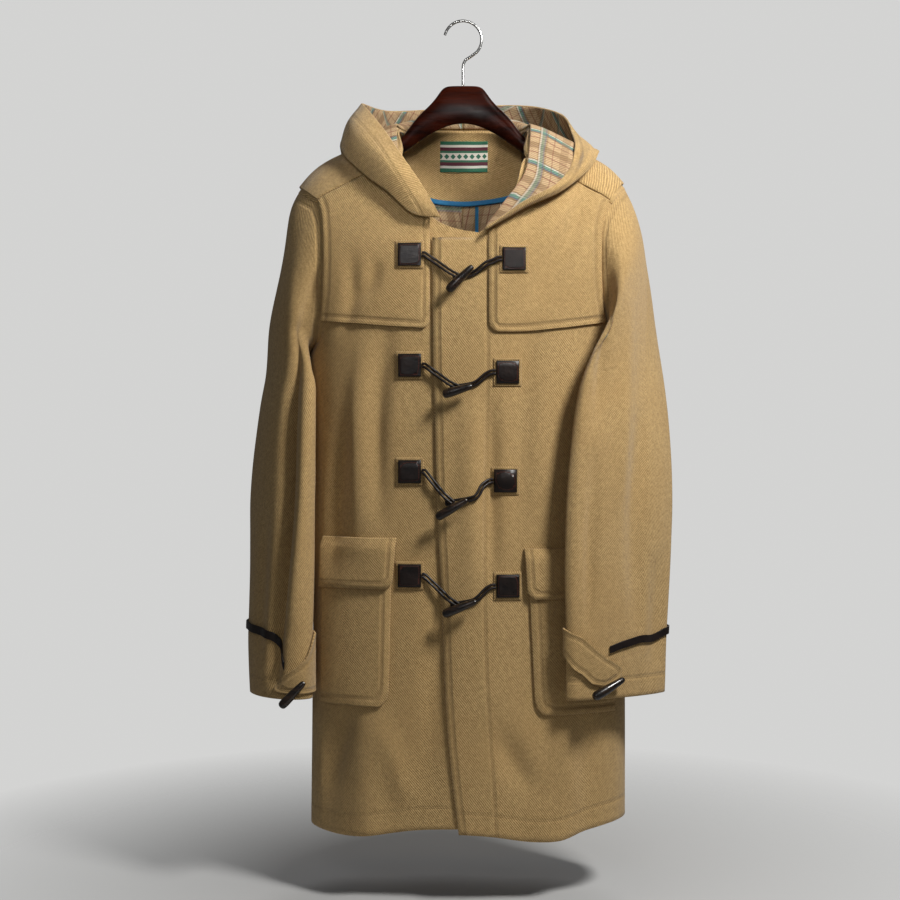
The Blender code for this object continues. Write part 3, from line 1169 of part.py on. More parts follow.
def hanger_wood(material):
    top = curve(HANGER, "x", "top")
    bottom = curve(HANGER, "x", "bottom")
    thick = curve(HANGER, "x", "half_thick")
    xs = [-row.x for row in reversed(HANGER)] + [row.x for row in HANGER[1:]]
    count = 12
    vertices = []
    for x in xs:
        reach = abs(x)
        high = float(top(reach))
        if reach > 0.0795:
            slope = float(ridge_z(reach + 0.005) - ridge_z(reach - 0.005)) / 0.01
            under = float(ridge_z(reach)) - CLOTH * math.sqrt(1 + slope ** 2) - HANGER_GAP
            high = min(high, under)
        low = float(bottom(reach))
        middle, half = (high + low) / 2, (high - low) / 2
        for k in range(count):
            a = 2 * math.pi * (k + 0.5) / count
            y = math.cos(a) * float(thick(reach))
            z = math.sin(a) * half / 0.966
            vertices.append((x, float(middle_y(x)) + y, middle + z))
    faces = []
    for i in range(len(xs) - 1):
        for k in range(count):
            a = i * count + k
            b = i * count + (k + 1) % count
            faces.append((a, b, b + count, a + count))
    faces.append(tuple(reversed(range(count))))
    last = (len(xs) - 1) * count
    faces.append(tuple(range(last, last + count)))
    mesh_object("hanger_wood", vertices, faces, material)


def hanger_hook(material):
    middle = HOOK_WIRE - HOOK_RADIUS
    line = []
    for degrees in range(166, -52, -14):
        a = math.radians(degrees)
        line.append((HOOK_RADIUS * math.cos(a), 0, middle + HOOK_RADIUS * math.sin(a)))
    line += [(0.0100, 0, -0.0475), (0.0035, 0, -0.0520), (0.0005, 0, -0.0580), (0, 0, -0.0650),
             (0, 0, -0.0865)]
    tube("hanger_hook", line, HOOK_WIRE, material)


def build():
    camel = new_material("camel_wool", (0.46, 0.31, 0.15), 0.92)
    trim = new_material("camel_trim", (0.44, 0.30, 0.15), 0.92)
    leather = new_material("dark_leather", (0.020, 0.014, 0.011), 0.45)
    horn = new_material("dark_horn", (0.025, 0.016, 0.012), 0.30)
    wood = new_material("dark_wood", (0.045, 0.010, 0.008), 0.35)
    steel = new_material("steel", (0.60, 0.60, 0.60), 0.25, 1.0)
    blue = new_material("blue_tape", (0.01, 0.16, 0.38), 0.60)
    label_cloth = new_material("label_cloth", (0.05, 0.16, 0.09), 0.70)

    left, right = front_grid(-1), front_grid(1)
    back_left, back_right = back_half_grid(-1), back_half_grid(1)
    wall("front_left", left, CLOTH, camel)
    wall("front_right", right, CLOTH, camel)
    gapped = with_centre_gap(back_left, -1)
    wall("back_left", Grid(gapped.points[:, ::-1], gapped.normals[:, ::-1]), CLOTH, camel)
    wall("back_right", with_centre_gap(back_right, 1), CLOTH, camel)

    inset = CAPE_GAP / SIDE_STRIP
    cape("cape_front_left", left, constant(CAPE_LEFT_EDGE_X), -inset, CAPE_BOTTOM_LEFT, camel)
    cape("cape_front_right", right, lambda z: float(facing_stitch(z)) + 0.0012, -inset,
         CAPE_BOTTOM_RIGHT, camel)
    back = whole_back(back_left, back_right)
    cape("cape_back", back, inset, -inset, CAPE_BOTTOM_BACK, camel)

    pocket("left", left, POCKETS["left"], camel)
    pocket("right", right, POCKETS["right"], camel)
    neck_pieces(back, trim, blue, label_cloth)

    on_cape = LAYER_GAP + CLOTH
    for number, row in enumerate(FASTENINGS, 1):
        base = on_cape if number == 1 else 0.0
        fastening(number, row, left, base, right, base, (trim, leather, horn))

    for name, side, table, front, behind in (("left", -1, LEFT_SLEEVE, left, back_left),
                                             ("right", 1, RIGHT_SLEEVE, right, back_right)):
        grid, underarm = sleeve_grid(side, table, front, behind)
        wall("sleeve_%s_front" % name, sleeve_half(grid, underarm, True), CLOTH, camel)
        wall("sleeve_%s_back" % name, sleeve_half(grid, underarm, False), CLOTH, camel)
        cuff(name, grid, camel, leather, horn)

    hood, middle = hood_grid()
    left_half = hood.points[:, :middle + 1].copy()
    right_half = hood.points[:, middle:].copy()
    left_half[:, -1, 0] = -SEAM / 2
    right_half[:, 0, 0] = SEAM / 2
    flat = hood.normals.copy()
    flat[:, middle, 0] = 0
    wall("hood_left", Grid(left_half, flat[:, :middle + 1]), CLOTH, camel)
    wall("hood_right", Grid(right_half, flat[:, middle:]), CLOTH, camel)

    hanger_wood(wood)
    hanger_hook(steel)


COLLECTION = None


def main():
    global COLLECTION
    clear_scene()
    COLLECTION = bpy.data.collections.new("duffle_coat")
    bpy.context.scene.collection.children.link(COLLECTION)
    build()


main()
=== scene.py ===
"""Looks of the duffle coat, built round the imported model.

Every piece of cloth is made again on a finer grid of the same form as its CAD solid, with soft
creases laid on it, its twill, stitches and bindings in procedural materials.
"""
import math
from collections import namedtuple

import bpy
import numpy as np
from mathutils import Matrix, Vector


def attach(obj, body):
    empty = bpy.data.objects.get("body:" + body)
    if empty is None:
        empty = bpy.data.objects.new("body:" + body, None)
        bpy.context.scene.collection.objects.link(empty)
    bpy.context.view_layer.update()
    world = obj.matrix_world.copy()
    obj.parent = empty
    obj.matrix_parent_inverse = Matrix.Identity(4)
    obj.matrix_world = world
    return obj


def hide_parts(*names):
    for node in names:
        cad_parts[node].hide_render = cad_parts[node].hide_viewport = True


FR = 7                   # fine steps in each row interval of a coarse grid
FC = 6                   # and in each column interval
HOOD_FINE = 5
CAMEL = (0.488, 0.320, 0.137)
WORLD_SEEN = 0.76
WORLD_LIGHT = 0.105
LIGHTS = (
    ("key", (0.84, -0.86, 0.54), 0.40, 29.0, (1.0, 0.99, 0.96)),
    ("fill", (-0.30, -1.8, 0.10), 0.7, 2.4, (0.97, 0.98, 1.0), (0, 0, -0.22)),
    ("neck", (-0.05, -1.25, -0.08), 0.25, 0.115, (1.0, 0.99, 0.97), (0, 0.06, -0.17), 22),
    ("behind", (0.6, 1.8, 0.8), 1.2, 10.0, (1.0, 1.0, 1.0)),
)
PLAID_BARS = (           # centre, half width, colour and strength, as shares of the check
    (0.22, 0.095, (0.20, 0.115, 0.058), 0.70), (0.165, 0.014, (0.62, 0.60, 0.52), 0.85),
    (0.215, 0.030, (0.10, 0.30, 0.25), 0.75), (0.265, 0.012, (0.05, 0.14, 0.26), 0.60),
    (0.47, 0.010, (0.20, 0.05, 0.045), 0.65), (0.72, 0.085, (0.25, 0.150, 0.078), 0.65),
    (0.93, 0.010, (0.20, 0.05, 0.045), 0.60),
)
LABEL_BANDS = (
    (0.0050, 0.0085, (0.62, 0.60, 0.52)), (0.0085, 0.0135, (0.085, 0.010, 0.022)),
    (0.0165, 0.0265, (0.62, 0.60, 0.52)), (0.0295, 0.0345, (0.085, 0.010, 0.022)),
    (0.0345, 0.0380, (0.62, 0.60, 0.52)),
)
TWILL = {                # direction of the twill's ribs on each piece, in degrees
    "front_left": 140, "front_right": 142, "back_left": 40, "back_right": 40,
    "cape_front_left": 135, "cape_front_right": 138, "cape_back": 45,
    "pocket_left": 138, "pocket_right": 140, "pocket_flap_left": 146, "pocket_flap_right": 135,
    "sleeve_left_front": 148, "sleeve_left_back": 30, "sleeve_right_front": 140,
    "sleeve_right_back": 30, "cuff_tab_left": 60, "cuff_tab_right": 60,
    "hood_left": 50, "hood_right": 130, "neck_facing": 120,
}
STITCHES = {             # lines of stitches: edges they follow, distance from them, strength
    "front_left": (("bottom", 0.028, 0.45), ("far", 0.010, 0.5)),
    "front_right": (("facing", 0.0, 0.8), ("near", 0.0075, 1.0), ("bottom", 0.028, 0.45),
                    ("far", 0.010, 0.5)),
    "cape_front_left": (("near+bottom", 0.0075, 1.0), ("far", 0.0075, 0.8)),
    "cape_front_right": (("near+bottom", 0.0075, 1.0), ("far", 0.0075, 0.8)),
    "cape_back": (("bottom", 0.0075, 1.0),),
    "pocket_left": (("near+bottom", 0.0105, 1.0),),
    "pocket_right": (("near+bottom", 0.0105, 1.0),),
    "pocket_flap_left": (("near+bottom", 0.008, 1.0),),
    "pocket_flap_right": (("near+bottom", 0.008, 1.0),),
    "sleeve_left_front": (("bottom", 0.025, 0.5), ("top", 0.010, 0.8)),
    "sleeve_left_back": (("bottom", 0.025, 0.5),),
    "sleeve_right_front": (("bottom", 0.025, 0.5), ("top", 0.010, 0.8)),
    "sleeve_right_back": (("bottom", 0.025, 0.5),),
    "hood_left": (("bottom", 0.024, 0.4), ("far", 0.006, 0.6)),
    "hood_right": (("bottom", 0.011, 0.7), ("near", 0.006, 0.6)),
    "cuff_tab_left": (("top+near+bottom", 0.005, 0.8),),
    "cuff_tab_right": (("top+near+bottom", 0.005, 0.8),),
}
PLAID_PIECES = ("front_left", "front_right", "back_left", "back_right", "hood_left",
                "hood_right", "sleeve_left_front", "sleeve_left_back", "sleeve_right_front",
                "sleeve_right_back")
PLANAR = ("front_left", "front_right", "cape_front_left", "cape_front_right", "pocket_left",
          "pocket_right", "pocket_flap_left", "pocket_flap_right")
for piece_number in range(1, 5):
    for piece_side in ("left", "right"):
        STITCHES["leather_square_%s_%d" % (piece_side, piece_number)] = (
            ("top+near+bottom+far", 0.0024, 1.0),)
        STITCHES["backing_%s_%d" % (piece_side, piece_number)] = (
            ("top+near+bottom+far", 0.0014, 0.35),)

Crease = namedtuple("Crease", "width depth line")


def px(*places):
    """Places on the coat's front, in steps of 1.31 mm right of and below (-0.6073, 0.0035)."""
    return [(-0.6073 + a * 0.00131, 0.0035 - b * 0.00131) for a, b in places]


FRONT_CREASES = (
    Crease(0.013, -0.0065, px((387, 330), (377, 426), (378, 520))),
    Crease(0.012, 0.0043, px((362, 350), (356, 430), (356, 540))),
    Crease(0.012, -0.0051, px((343, 430), (335, 497), (334, 580))),
    Crease(0.010, -0.0051, px((377, 262), (372, 283), (356, 300))),
    Crease(0.010, -0.0043, px((352, 255), (352, 300), (345, 330))),
    Crease(0.014, -0.0051, px((590, 190), (566, 240), (534, 306))),
    Crease(0.012, 0.0036, px((570, 190), (545, 236), (512, 290))),
    Crease(0.010, -0.0058, px((490, 400), (491, 480), (492, 580))),
    Crease(0.012, 0.0043, px((470, 400), (470, 480), (472, 600))),
    Crease(0.014, -0.0058, px((350, 715), (336, 750), (330, 790))),
    Crease(0.016, 0.0043, px((380, 720), (398, 770), (408, 800))),
    Crease(0.016, -0.0051, px((497, 730), (514, 760), (532, 790))),
    Crease(0.018, 0.0051, px((560, 700), (566, 760), (570, 810))),
    Crease(0.016, -0.0043, px((440, 560), (436, 660), (430, 780))),
    Crease(0.016, -0.0043, px((528, 330), (524, 430), (520, 520))),
)
BACK_CREASES = (
    Crease(0.020, -0.0045, [(-0.09, -0.48), (-0.10, -0.75), (-0.11, -1.05)]),
    Crease(0.020, -0.0045, [(0.08, -0.50), (0.10, -0.78), (0.10, -1.05)]),
    Crease(0.018, 0.0040, [(-0.05, -0.50), (-0.05, -0.80), (-0.06, -1.05)]),
    Crease(0.018, 0.0040, [(0.14, -0.60), (0.15, -0.80), (0.15, -1.04)]),
)
LEFT_SLEEVE_CREASES = (
    Crease(0.009, -0.0155, px((298, 330), (290, 420), (288, 500), (278, 600), (274, 680))),
    Crease(0.011, 0.0070, px((312, 340), (304, 430), (300, 520), (292, 620))),
    Crease(0.009, -0.0049, px((322, 262), (312, 290), (300, 330))),
    Crease(0.009, -0.0042, px((330, 300), (318, 330), (306, 380))),
    Crease(0.009, -0.0042, px((262, 520), (258, 590), (256, 660))),
)
RIGHT_SLEEVE_CREASES = (
    Crease(0.011, -0.0056, px((610, 262), (602, 330), (596, 420))),
    Crease(0.012, 0.0042, px((630, 300), (625, 400), (620, 500))),
    Crease(0.012, -0.0056, px((640, 420), (634, 520), (636, 620))),
    Crease(0.010, -0.0042, px((592, 460), (588, 540), (586, 620))),
    Crease(0.012, -0.0042, px((660, 560), (658, 620), (656, 670))),
)


CLOTH = 0.003            # wall of the double-faced wool cloth
SEAM = 0.0003            # gap between two pieces along a seam
LAYER_GAP = 0.0007       # gap between a panel and what is sewn on it
LEATHER = 0.0018         # leather squares and straps
TAPE = 0.0010            # binding tape, label
FACING = 0.0020          # neck facing

FRONT_POWER = 2.2        # squareness of the body's front and back halves, in plan
BACK_POWER = 2.6
FRONT_ROUND = 0.170      # height over which the front turns over to the shoulder ridge
BACK_ROUND = 0.130
ARM_SWEEP = 0.012        # how far the hanger's arms reach forward at their tips
ARM_REACH = 0.200

SEAM_DROP = 0.052        # shoulder seam, below the ridge on its front side
JUNCTION_X = 0.085       # where the shoulder seam meets the neckline
NECK_END_X = 0.028       # front end of the hood's neckline on the lapping front
UNDERARM_Z = -0.458
YOKE_Z = -0.310          # level above which the fronts' grid fans out to neck and shoulder
LAP_END_X = 0.025        # edge of the under front, hidden by the lapping one
LAP_FADE_X = 0.085       # where the lapping front has come back to the form
PATCH_LEFT_X = -0.070    # line of the left toggle fastenings
POCKET_LEFT_X = -0.0935  # pocket's inner edge, left
SIDE_STRIP = 0.006       # narrow strip of cloth along armhole and side seam

BodySection = namedtuple("BodySection", "z centre half_width front back")
BODY_SECTIONS = (
    BodySection(-0.050, 0.002, 0.255, 0.080, 0.080),
    BodySection(-0.200, 0.002, 0.252, 0.086, 0.082),
    BodySection(-0.250, 0.001, 0.247, 0.092, 0.084),
    BodySection(-0.300, -0.002, 0.237, 0.097, 0.086),
    BodySection(-0.350, -0.002, 0.226, 0.100, 0.088),
    BodySection(-0.400, -0.001, 0.217, 0.102, 0.088),
    BodySection(-0.458, 0.001, 0.2085, 0.104, 0.087),
    BodySection(-0.550, 0.003, 0.206, 0.106, 0.084),
    BodySection(-0.700, 0.006, 0.2085, 0.108, 0.080),
    BodySection(-0.900, 0.0075, 0.212, 0.112, 0.080),
    BodySection(-1.110, 0.0065, 0.213, 0.118, 0.084),
)

RidgeRow = namedtuple("RidgeRow", "x z")
RIDGE = (                # top line of the shoulders, on either side
    RidgeRow(0.000, -0.095), RidgeRow(0.030, -0.0975), RidgeRow(0.050, -0.104),
    RidgeRow(0.070, -0.128), RidgeRow(0.085, -0.146), RidgeRow(0.120, -0.164),
    RidgeRow(0.162, -0.185), RidgeRow(0.188, -0.1985), RidgeRow(0.205, -0.213),
    RidgeRow(0.2225, -0.2345), RidgeRow(0.250, -0.280),
)

ArmholeRow = namedtuple("ArmholeRow", "z x")
FRONT_ARMHOLE = (        # distance of the armhole from the body's centre line
    ArmholeRow(-0.2345, 0.2225), ArmholeRow(-0.245, 0.2165), ArmholeRow(-0.2575, 0.1975),
    ArmholeRow(-0.275, 0.1900), ArmholeRow(-0.291, 0.1870), ArmholeRow(-0.331, 0.1850),
    ArmholeRow(-0.380, 0.1870), ArmholeRow(-0.420, 0.1920), ArmholeRow(-0.445, 0.2005),
    ArmholeRow(-0.458, 0.2085),
)
BackArmholeRow = namedtuple("BackArmholeRow", "turn x")
BACK_ARMHOLE_TOP = (     # by turn over the ridge, in degrees, minus on the front side
    BackArmholeRow(-46, 0.1975), BackArmholeRow(-23, 0.2165), BackArmholeRow(0, 0.2225),
    BackArmholeRow(26, 0.2180), BackArmholeRow(50, 0.2110), BackArmholeRow(72, 0.2050),
    BackArmholeRow(90, 0.2015),
)
BACK_ARMHOLE = (
    ArmholeRow(-0.340, 0.2015), ArmholeRow(-0.380, 0.2000), ArmholeRow(-0.420, 0.2020),
    ArmholeRow(-0.445, 0.2055), ArmholeRow(-0.458, 0.2085),
)

NeckRow = namedtuple("NeckRow", "x drop")
FRONT_NECK = (           # neckline in front: distance from the centre, and below the ridge
    NeckRow(NECK_END_X, 0.2025), NeckRow(0.050, 0.165), NeckRow(0.066, 0.122),
    NeckRow(0.078, 0.086), NeckRow(JUNCTION_X, SEAM_DROP),
)
BackNeckRow = namedtuple("BackNeckRow", "x turn")
BACK_NECK = (            # neckline from the centre back over the ridge to the shoulder seam
    BackNeckRow(0.000, 47), BackNeckRow(0.030, 46), BackNeckRow(0.055, 40),
    BackNeckRow(0.074, 25), BackNeckRow(0.084, 8), BackNeckRow(0.0875, -15),
    BackNeckRow(JUNCTION_X, -46),
)

LapRow = namedtuple("LapRow", "z x")
LAP_EDGE = (             # edge of the lapping front
    LapRow(-0.300, -0.0405), LapRow(-0.444, -0.040), LapRow(-0.521, -0.038),
    LapRow(-0.651, -0.035), LapRow(-0.780, -0.029), LapRow(-0.928, -0.023),
    LapRow(-1.100, -0.005),
)
FACING_STITCH = (        # inner edge of the lapping front's facing, and of the right cape
    LapRow(-0.300, 0.0310), LapRow(-0.440, 0.0310), LapRow(-0.780, 0.0270),
    LapRow(-1.100, 0.0430),
)
PATCH_RIGHT = (          # line of the right toggle fastenings
    LapRow(-0.300, 0.0660), LapRow(-0.338, 0.0650), LapRow(-0.485, 0.0570),
    LapRow(-0.626, 0.0540), LapRow(-0.762, 0.0570), LapRow(-1.100, 0.0680),
)

HemRow = namedtuple("HemRow", "x z")
LEFT_HEM = (
    HemRow(-0.215, -1.086), HemRow(-0.168, -1.091), HemRow(-0.120, -1.087),
    HemRow(-0.030, -1.076), HemRow(0.030, -1.076),
)
RIGHT_HEM = (
    HemRow(-0.010, -1.082), HemRow(0.045, -1.086), HemRow(0.090, -1.093),
    HemRow(0.135, -1.092), HemRow(0.165, -1.083), HemRow(0.220, -1.075),
)
BACK_HEM = (HemRow(-0.215, -1.086), HemRow(0.000, -1.083), HemRow(0.220, -1.075))

FoldRow = namedtuple("FoldRow", "x_top z_top x_bottom z_bottom width height")
FRONT_FOLDS = (          # soft upright folds of the fronts, plus outwards
    FoldRow(-0.105, -0.440, -0.118, -0.680, 0.016, 0.0045),
    FoldRow(-0.150, -0.520, -0.160, -0.720, 0.016, -0.0040),
    FoldRow(-0.160, -0.880, -0.178, -1.085, 0.018, -0.0050),
    FoldRow(-0.075, -0.950, -0.082, -1.090, 0.020, -0.0050),
    FoldRow(-0.120, -0.900, -0.125, -1.090, 0.020, 0.0050),
    FoldRow(0.105, -0.400, 0.085, -0.640, 0.016, 0.0040),
    FoldRow(0.075, -0.950, 0.120, -1.090, 0.020, 0.0060),
    FoldRow(0.160, -0.930, 0.165, -1.085, 0.020, -0.0060),
)
BACK_FOLDS = (
    FoldRow(-0.110, -0.430, -0.135, -1.080, 0.026, 0.0060),
    FoldRow(-0.055, -0.500, -0.062, -1.080, 0.022, -0.0060),
    FoldRow(0.060, -0.470, 0.070, -1.080, 0.024, -0.0060),
    FoldRow(0.115, -0.430, 0.140, -1.080, 0.026, 0.0065),
    FoldRow(-0.165, -0.560, -0.175, -1.080, 0.016, -0.0050),
)

SleeveRing = namedtuple("SleeveRing", "x y z half_width rise depth turn")
LEFT_SLEEVE = (          # x is away from the body; rise lifts the outer end of a ring, and turn
    SleeveRing(0.2154, -0.002, -0.3450, 0.0069, 0.1100, 0.066, 0),   # brings its front inwards
    SleeveRing(0.2224, -0.004, -0.3605, 0.0137, 0.0985, 0.067, 1),
    SleeveRing(0.2242, -0.006, -0.3820, 0.0157, 0.0820, 0.067, 3),
    SleeveRing(0.2288, -0.009, -0.4080, 0.0218, 0.0630, 0.067, 7),
    SleeveRing(0.2328, -0.012, -0.4360, 0.0290, 0.0460, 0.066, 11),
    SleeveRing(0.2348, -0.016, -0.4665, 0.0364, 0.0315, 0.065, 16),
    SleeveRing(0.2365, -0.020, -0.5075, 0.0385, 0.0175, 0.065, 21),
    SleeveRing(0.2393, -0.024, -0.5675, 0.0443, 0.0075, 0.065, 25),
    SleeveRing(0.2440, -0.028, -0.6545, 0.0480, 0.0000, 0.066, 27),
    SleeveRing(0.2440, -0.033, -0.7500, 0.0475, 0.0000, 0.064, 27),
    SleeveRing(0.2453, -0.037, -0.8400, 0.0473, 0.0000, 0.060, 25),
    SleeveRing(0.2425, -0.040, -0.9130, 0.0465, 0.0000, 0.055, 22),
)
RIGHT_SLEEVE = (
    SleeveRing(0.2165, -0.002, -0.3460, 0.0080, 0.1090, 0.066, 0),
    SleeveRing(0.2215, -0.006, -0.3620, 0.0170, 0.0960, 0.074, 5),
    SleeveRing(0.2235, -0.013, -0.3820, 0.0285, 0.0800, 0.084, 11),
    SleeveRing(0.2205, -0.022, -0.4080, 0.0400, 0.0600, 0.091, 18),
    SleeveRing(0.2165, -0.033, -0.4380, 0.0500, 0.0420, 0.092, 25),
    SleeveRing(0.2135, -0.046, -0.4700, 0.0575, 0.0270, 0.089, 33),
    SleeveRing(0.2108, -0.061, -0.5150, 0.0650, 0.0140, 0.085, 42),
    SleeveRing(0.2085, -0.075, -0.5800, 0.0710, 0.0050, 0.083, 48),
    SleeveRing(0.2055, -0.086, -0.6600, 0.0745, 0.0000, 0.082, 53),
    SleeveRing(0.2025, -0.092, -0.7500, 0.0735, 0.0000, 0.080, 55),
    SleeveRing(0.2010, -0.094, -0.8300, 0.0700, 0.0000, 0.075, 56),
    SleeveRing(0.1990, -0.094, -0.9070, 0.0685, 0.0000, 0.072, 57),
)
RINGS_BETWEEN = 2        # grid rings between two rows of a sleeve's table
UNDERARM_DRIFT = {-1: 0.0, 1: 0.20}   # seam under the arm, to the back along its rings
SLEEVE_CLEARANCE = 0.0145 # between sleeve and the body's form, past cape, pocket and flap

HoodRow = namedtuple("HoodRow", "neck stand under fold flank rim")
# Each row is one section of the hood, from its seam on the neckline up the stand, over and
# down to the outer fold, and back up the flank to the rim. The neck point is the place of the
# neckline nearest to the one given. The rows go round from the left front end to the right.
HOOD_ROWS = (
    HoodRow((-0.040, -0.098, -0.284), (-0.0380, -0.1035, -0.2838), (-0.0360, -0.1065, -0.2842),
            (-0.0335, -0.1090, -0.2848), (-0.0310, -0.1110, -0.2856), (-0.0285, -0.1125, -0.2865)),
    HoodRow((-0.0505, -0.092, -0.268), (-0.0545, -0.1035, -0.2695), (-0.0610, -0.1060, -0.2745),
            (-0.0673, -0.1090, -0.2790), (-0.0605, -0.1135, -0.2620), (-0.0517, -0.1100, -0.2454)),
    HoodRow((-0.070, -0.083, -0.238), (-0.0755, -0.0935, -0.2385), (-0.0880, -0.0970, -0.2435),
            (-0.1000, -0.0990, -0.2480), (-0.0925, -0.1055, -0.2220), (-0.0810, -0.0970, -0.1997)),
    HoodRow((-0.083, -0.066, -0.206), (-0.0920, -0.0740, -0.2045), (-0.1100, -0.0790, -0.2155),
            (-0.1275, -0.0820, -0.2266), (-0.1195, -0.0890, -0.1920), (-0.1054, -0.0750, -0.1612)),
    HoodRow((-0.087, -0.035, -0.166), (-0.1000, -0.0420, -0.1665), (-0.1310, -0.0500, -0.1820),
            (-0.1580, -0.0530, -0.1945), (-0.1490, -0.0590, -0.1580), (-0.1285, -0.0450, -0.1284)),
    HoodRow((-0.086, -0.005, -0.149), (-0.1010, -0.0040, -0.1470), (-0.1350, -0.0030, -0.1610),
            (-0.1650, -0.0010, -0.1800), (-0.1590, -0.0120, -0.1440), (-0.1384, -0.0050, -0.1115)),
    HoodRow((-0.080, 0.020, -0.146), (-0.0940, 0.0320, -0.1370), (-0.1240, 0.0550, -0.1700),
            (-0.1520, 0.0780, -0.2300), (-0.1530, 0.0680, -0.1630), (-0.1330, 0.0420, -0.1035)),
    HoodRow((-0.064, 0.043, -0.142), (-0.0720, 0.0550, -0.1250), (-0.0880, 0.0820, -0.1800),
            (-0.1050, 0.1120, -0.2800), (-0.1150, 0.1300, -0.1900), (-0.1080, 0.0850, -0.1010)),
    HoodRow((-0.036, 0.056, -0.138), (-0.0400, 0.0660, -0.1210), (-0.0460, 0.0880, -0.1900),
            (-0.0550, 0.1220, -0.3020), (-0.0600, 0.1460, -0.2000), (-0.0540, 0.1100, -0.0940)),
    HoodRow((0.000, 0.058, -0.136), (0.0000, 0.0690, -0.1190), (0.0000, 0.0900, -0.1950),
            (0.0000, 0.1250, -0.3080), (0.0000, 0.1500, -0.2000), (0.0000, 0.1170, -0.0890)),
    HoodRow((0.036, 0.056, -0.138), (0.0400, 0.0660, -0.1200), (0.0460, 0.0880, -0.1900),
            (0.0550, 0.1220, -0.3020), (0.0600, 0.1460, -0.2000), (0.0520, 0.1120, -0.0870)),
    HoodRow((0.064, 0.043, -0.142), (0.0720, 0.0550, -0.1240), (0.0880, 0.0820, -0.1800),
            (0.1080, 0.1120, -0.2800), (0.1220, 0.1300, -0.1800), (0.1040, 0.0880, -0.0940)),
    HoodRow((0.080, 0.020, -0.146), (0.0950, 0.0320, -0.1380), (0.1280, 0.0550, -0.1720),
            (0.1600, 0.0780, -0.2320), (0.1660, 0.0680, -0.1750), (0.1410, 0.0450, -0.1160)),
    HoodRow((0.086, -0.005, -0.149), (0.1040, -0.0030, -0.1480), (0.1430, -0.0020, -0.1680),
            (0.1780, 0.0000, -0.1920), (0.1740, -0.0080, -0.1700), (0.1490, 0.0040, -0.1480)),
    HoodRow((0.087, -0.030, -0.162), (0.1040, -0.0360, -0.1660), (0.1400, -0.0450, -0.1870),
            (0.1720, -0.0520, -0.2060), (0.1680, -0.0590, -0.1900), (0.1470, -0.0400, -0.1850)),
    HoodRow((0.086, -0.050, -0.184), (0.1000, -0.0600, -0.1865), (0.1280, -0.0700, -0.2050),
            (0.1535, -0.0780, -0.2265), (0.1530, -0.0850, -0.2180), (0.1395, -0.0780, -0.2140)),
    HoodRow((0.078, -0.075, -0.224), (0.0880, -0.0870, -0.2270), (0.1060, -0.0930, -0.2400),
            (0.1215, -0.0970, -0.2515), (0.1225, -0.1040, -0.2485), (0.1170, -0.1080, -0.2430)),
    HoodRow((0.058, -0.090, -0.257), (0.0640, -0.1020, -0.2590), (0.0740, -0.1060, -0.2650),
            (0.0820, -0.1090, -0.2710), (0.0830, -0.1150, -0.2685), (0.0790, -0.1190, -0.2650)),
    HoodRow((0.0295, -0.098, -0.300), (0.0300, -0.1085, -0.3005), (0.0296, -0.1110, -0.3010),
            (0.0290, -0.1135, -0.3017), (0.0282, -0.1160, -0.3025), (0.0272, -0.1185, -0.3035)),
)
HOOD_STEPS = (2, 3, 5, 4, 3)   # grid steps between the six points of a section
HOOD_LIFT = (0.0052, 0.0072, 0.0088, 0.0088, 0.0088, 0.0088, 0.0088, 0.0088, 0.0090, 0.0100,
             0.0128, 0.0158, 0.0166, 0.0166, 0.0166, 0.0166, 0.0166, 0.0166)
# the least height of each row of the hood above the body's form, past cape and lower layer
HOOD_START_ON_LAP = 0.0088

PATCH_SIZE = 0.030       # leather square
BACKING_SIZE = 0.0365     # cloth square under it
BACKING = 0.0012
CORD_RADIUS = 0.0017
CORD_SPREAD = 0.0021     # half the distance between the two strands of a cord
TOGGLE_RADIUS = 0.0060

# Each row: heights of its left and right leather squares, the place where cord and loop cross,
# and the thick and thin ends of the horn toggle that lies on them.
Fastening = namedtuple(
    "Fastening", "left_z right_z cross_x cross_z thick_x thick_z thin_x thin_z")
FASTENINGS = (
    Fastening(-0.332, -0.338, -0.0055, -0.3615, -0.0205, -0.3815, 0.0110, -0.3500),
    Fastening(-0.476, -0.485, -0.0085, -0.5045, -0.0260, -0.5150, 0.0110, -0.5040),
    Fastening(-0.614, -0.626, -0.0150, -0.6530, -0.0400, -0.6730, 0.0045, -0.6500),
    Fastening(-0.749, -0.762, -0.0085, -0.7850, -0.0260, -0.7975, 0.0160, -0.7800),
)
TogglePart = namedtuple("TogglePart", "share radius")
TOGGLE_SHAPE = (
    TogglePart(0.00, 0.55), TogglePart(0.04, 0.85), TogglePart(0.14, 1.00),
    TogglePart(0.40, 0.97), TogglePart(0.70, 0.82), TogglePart(0.93, 0.66),
    TogglePart(1.00, 0.42),
)

CAPE_GAP = 0.0045        # cape's edge to the armhole
CAPE_BOTTOM_LEFT = (HemRow(-0.200, -0.4130), HemRow(-0.186, -0.4150), HemRow(-0.111, -0.4230),
                    HemRow(-0.044, -0.4290))
CAPE_BOTTOM_RIGHT = (HemRow(0.031, -0.4330), HemRow(0.062, -0.4330), HemRow(0.123, -0.4270),
                     HemRow(0.200, -0.4150))
CAPE_BOTTOM_BACK = (HemRow(-0.205, -0.4130), HemRow(0.000, -0.4280), HemRow(0.205, -0.4150))
CAPE_LEFT_EDGE_X = -0.0440

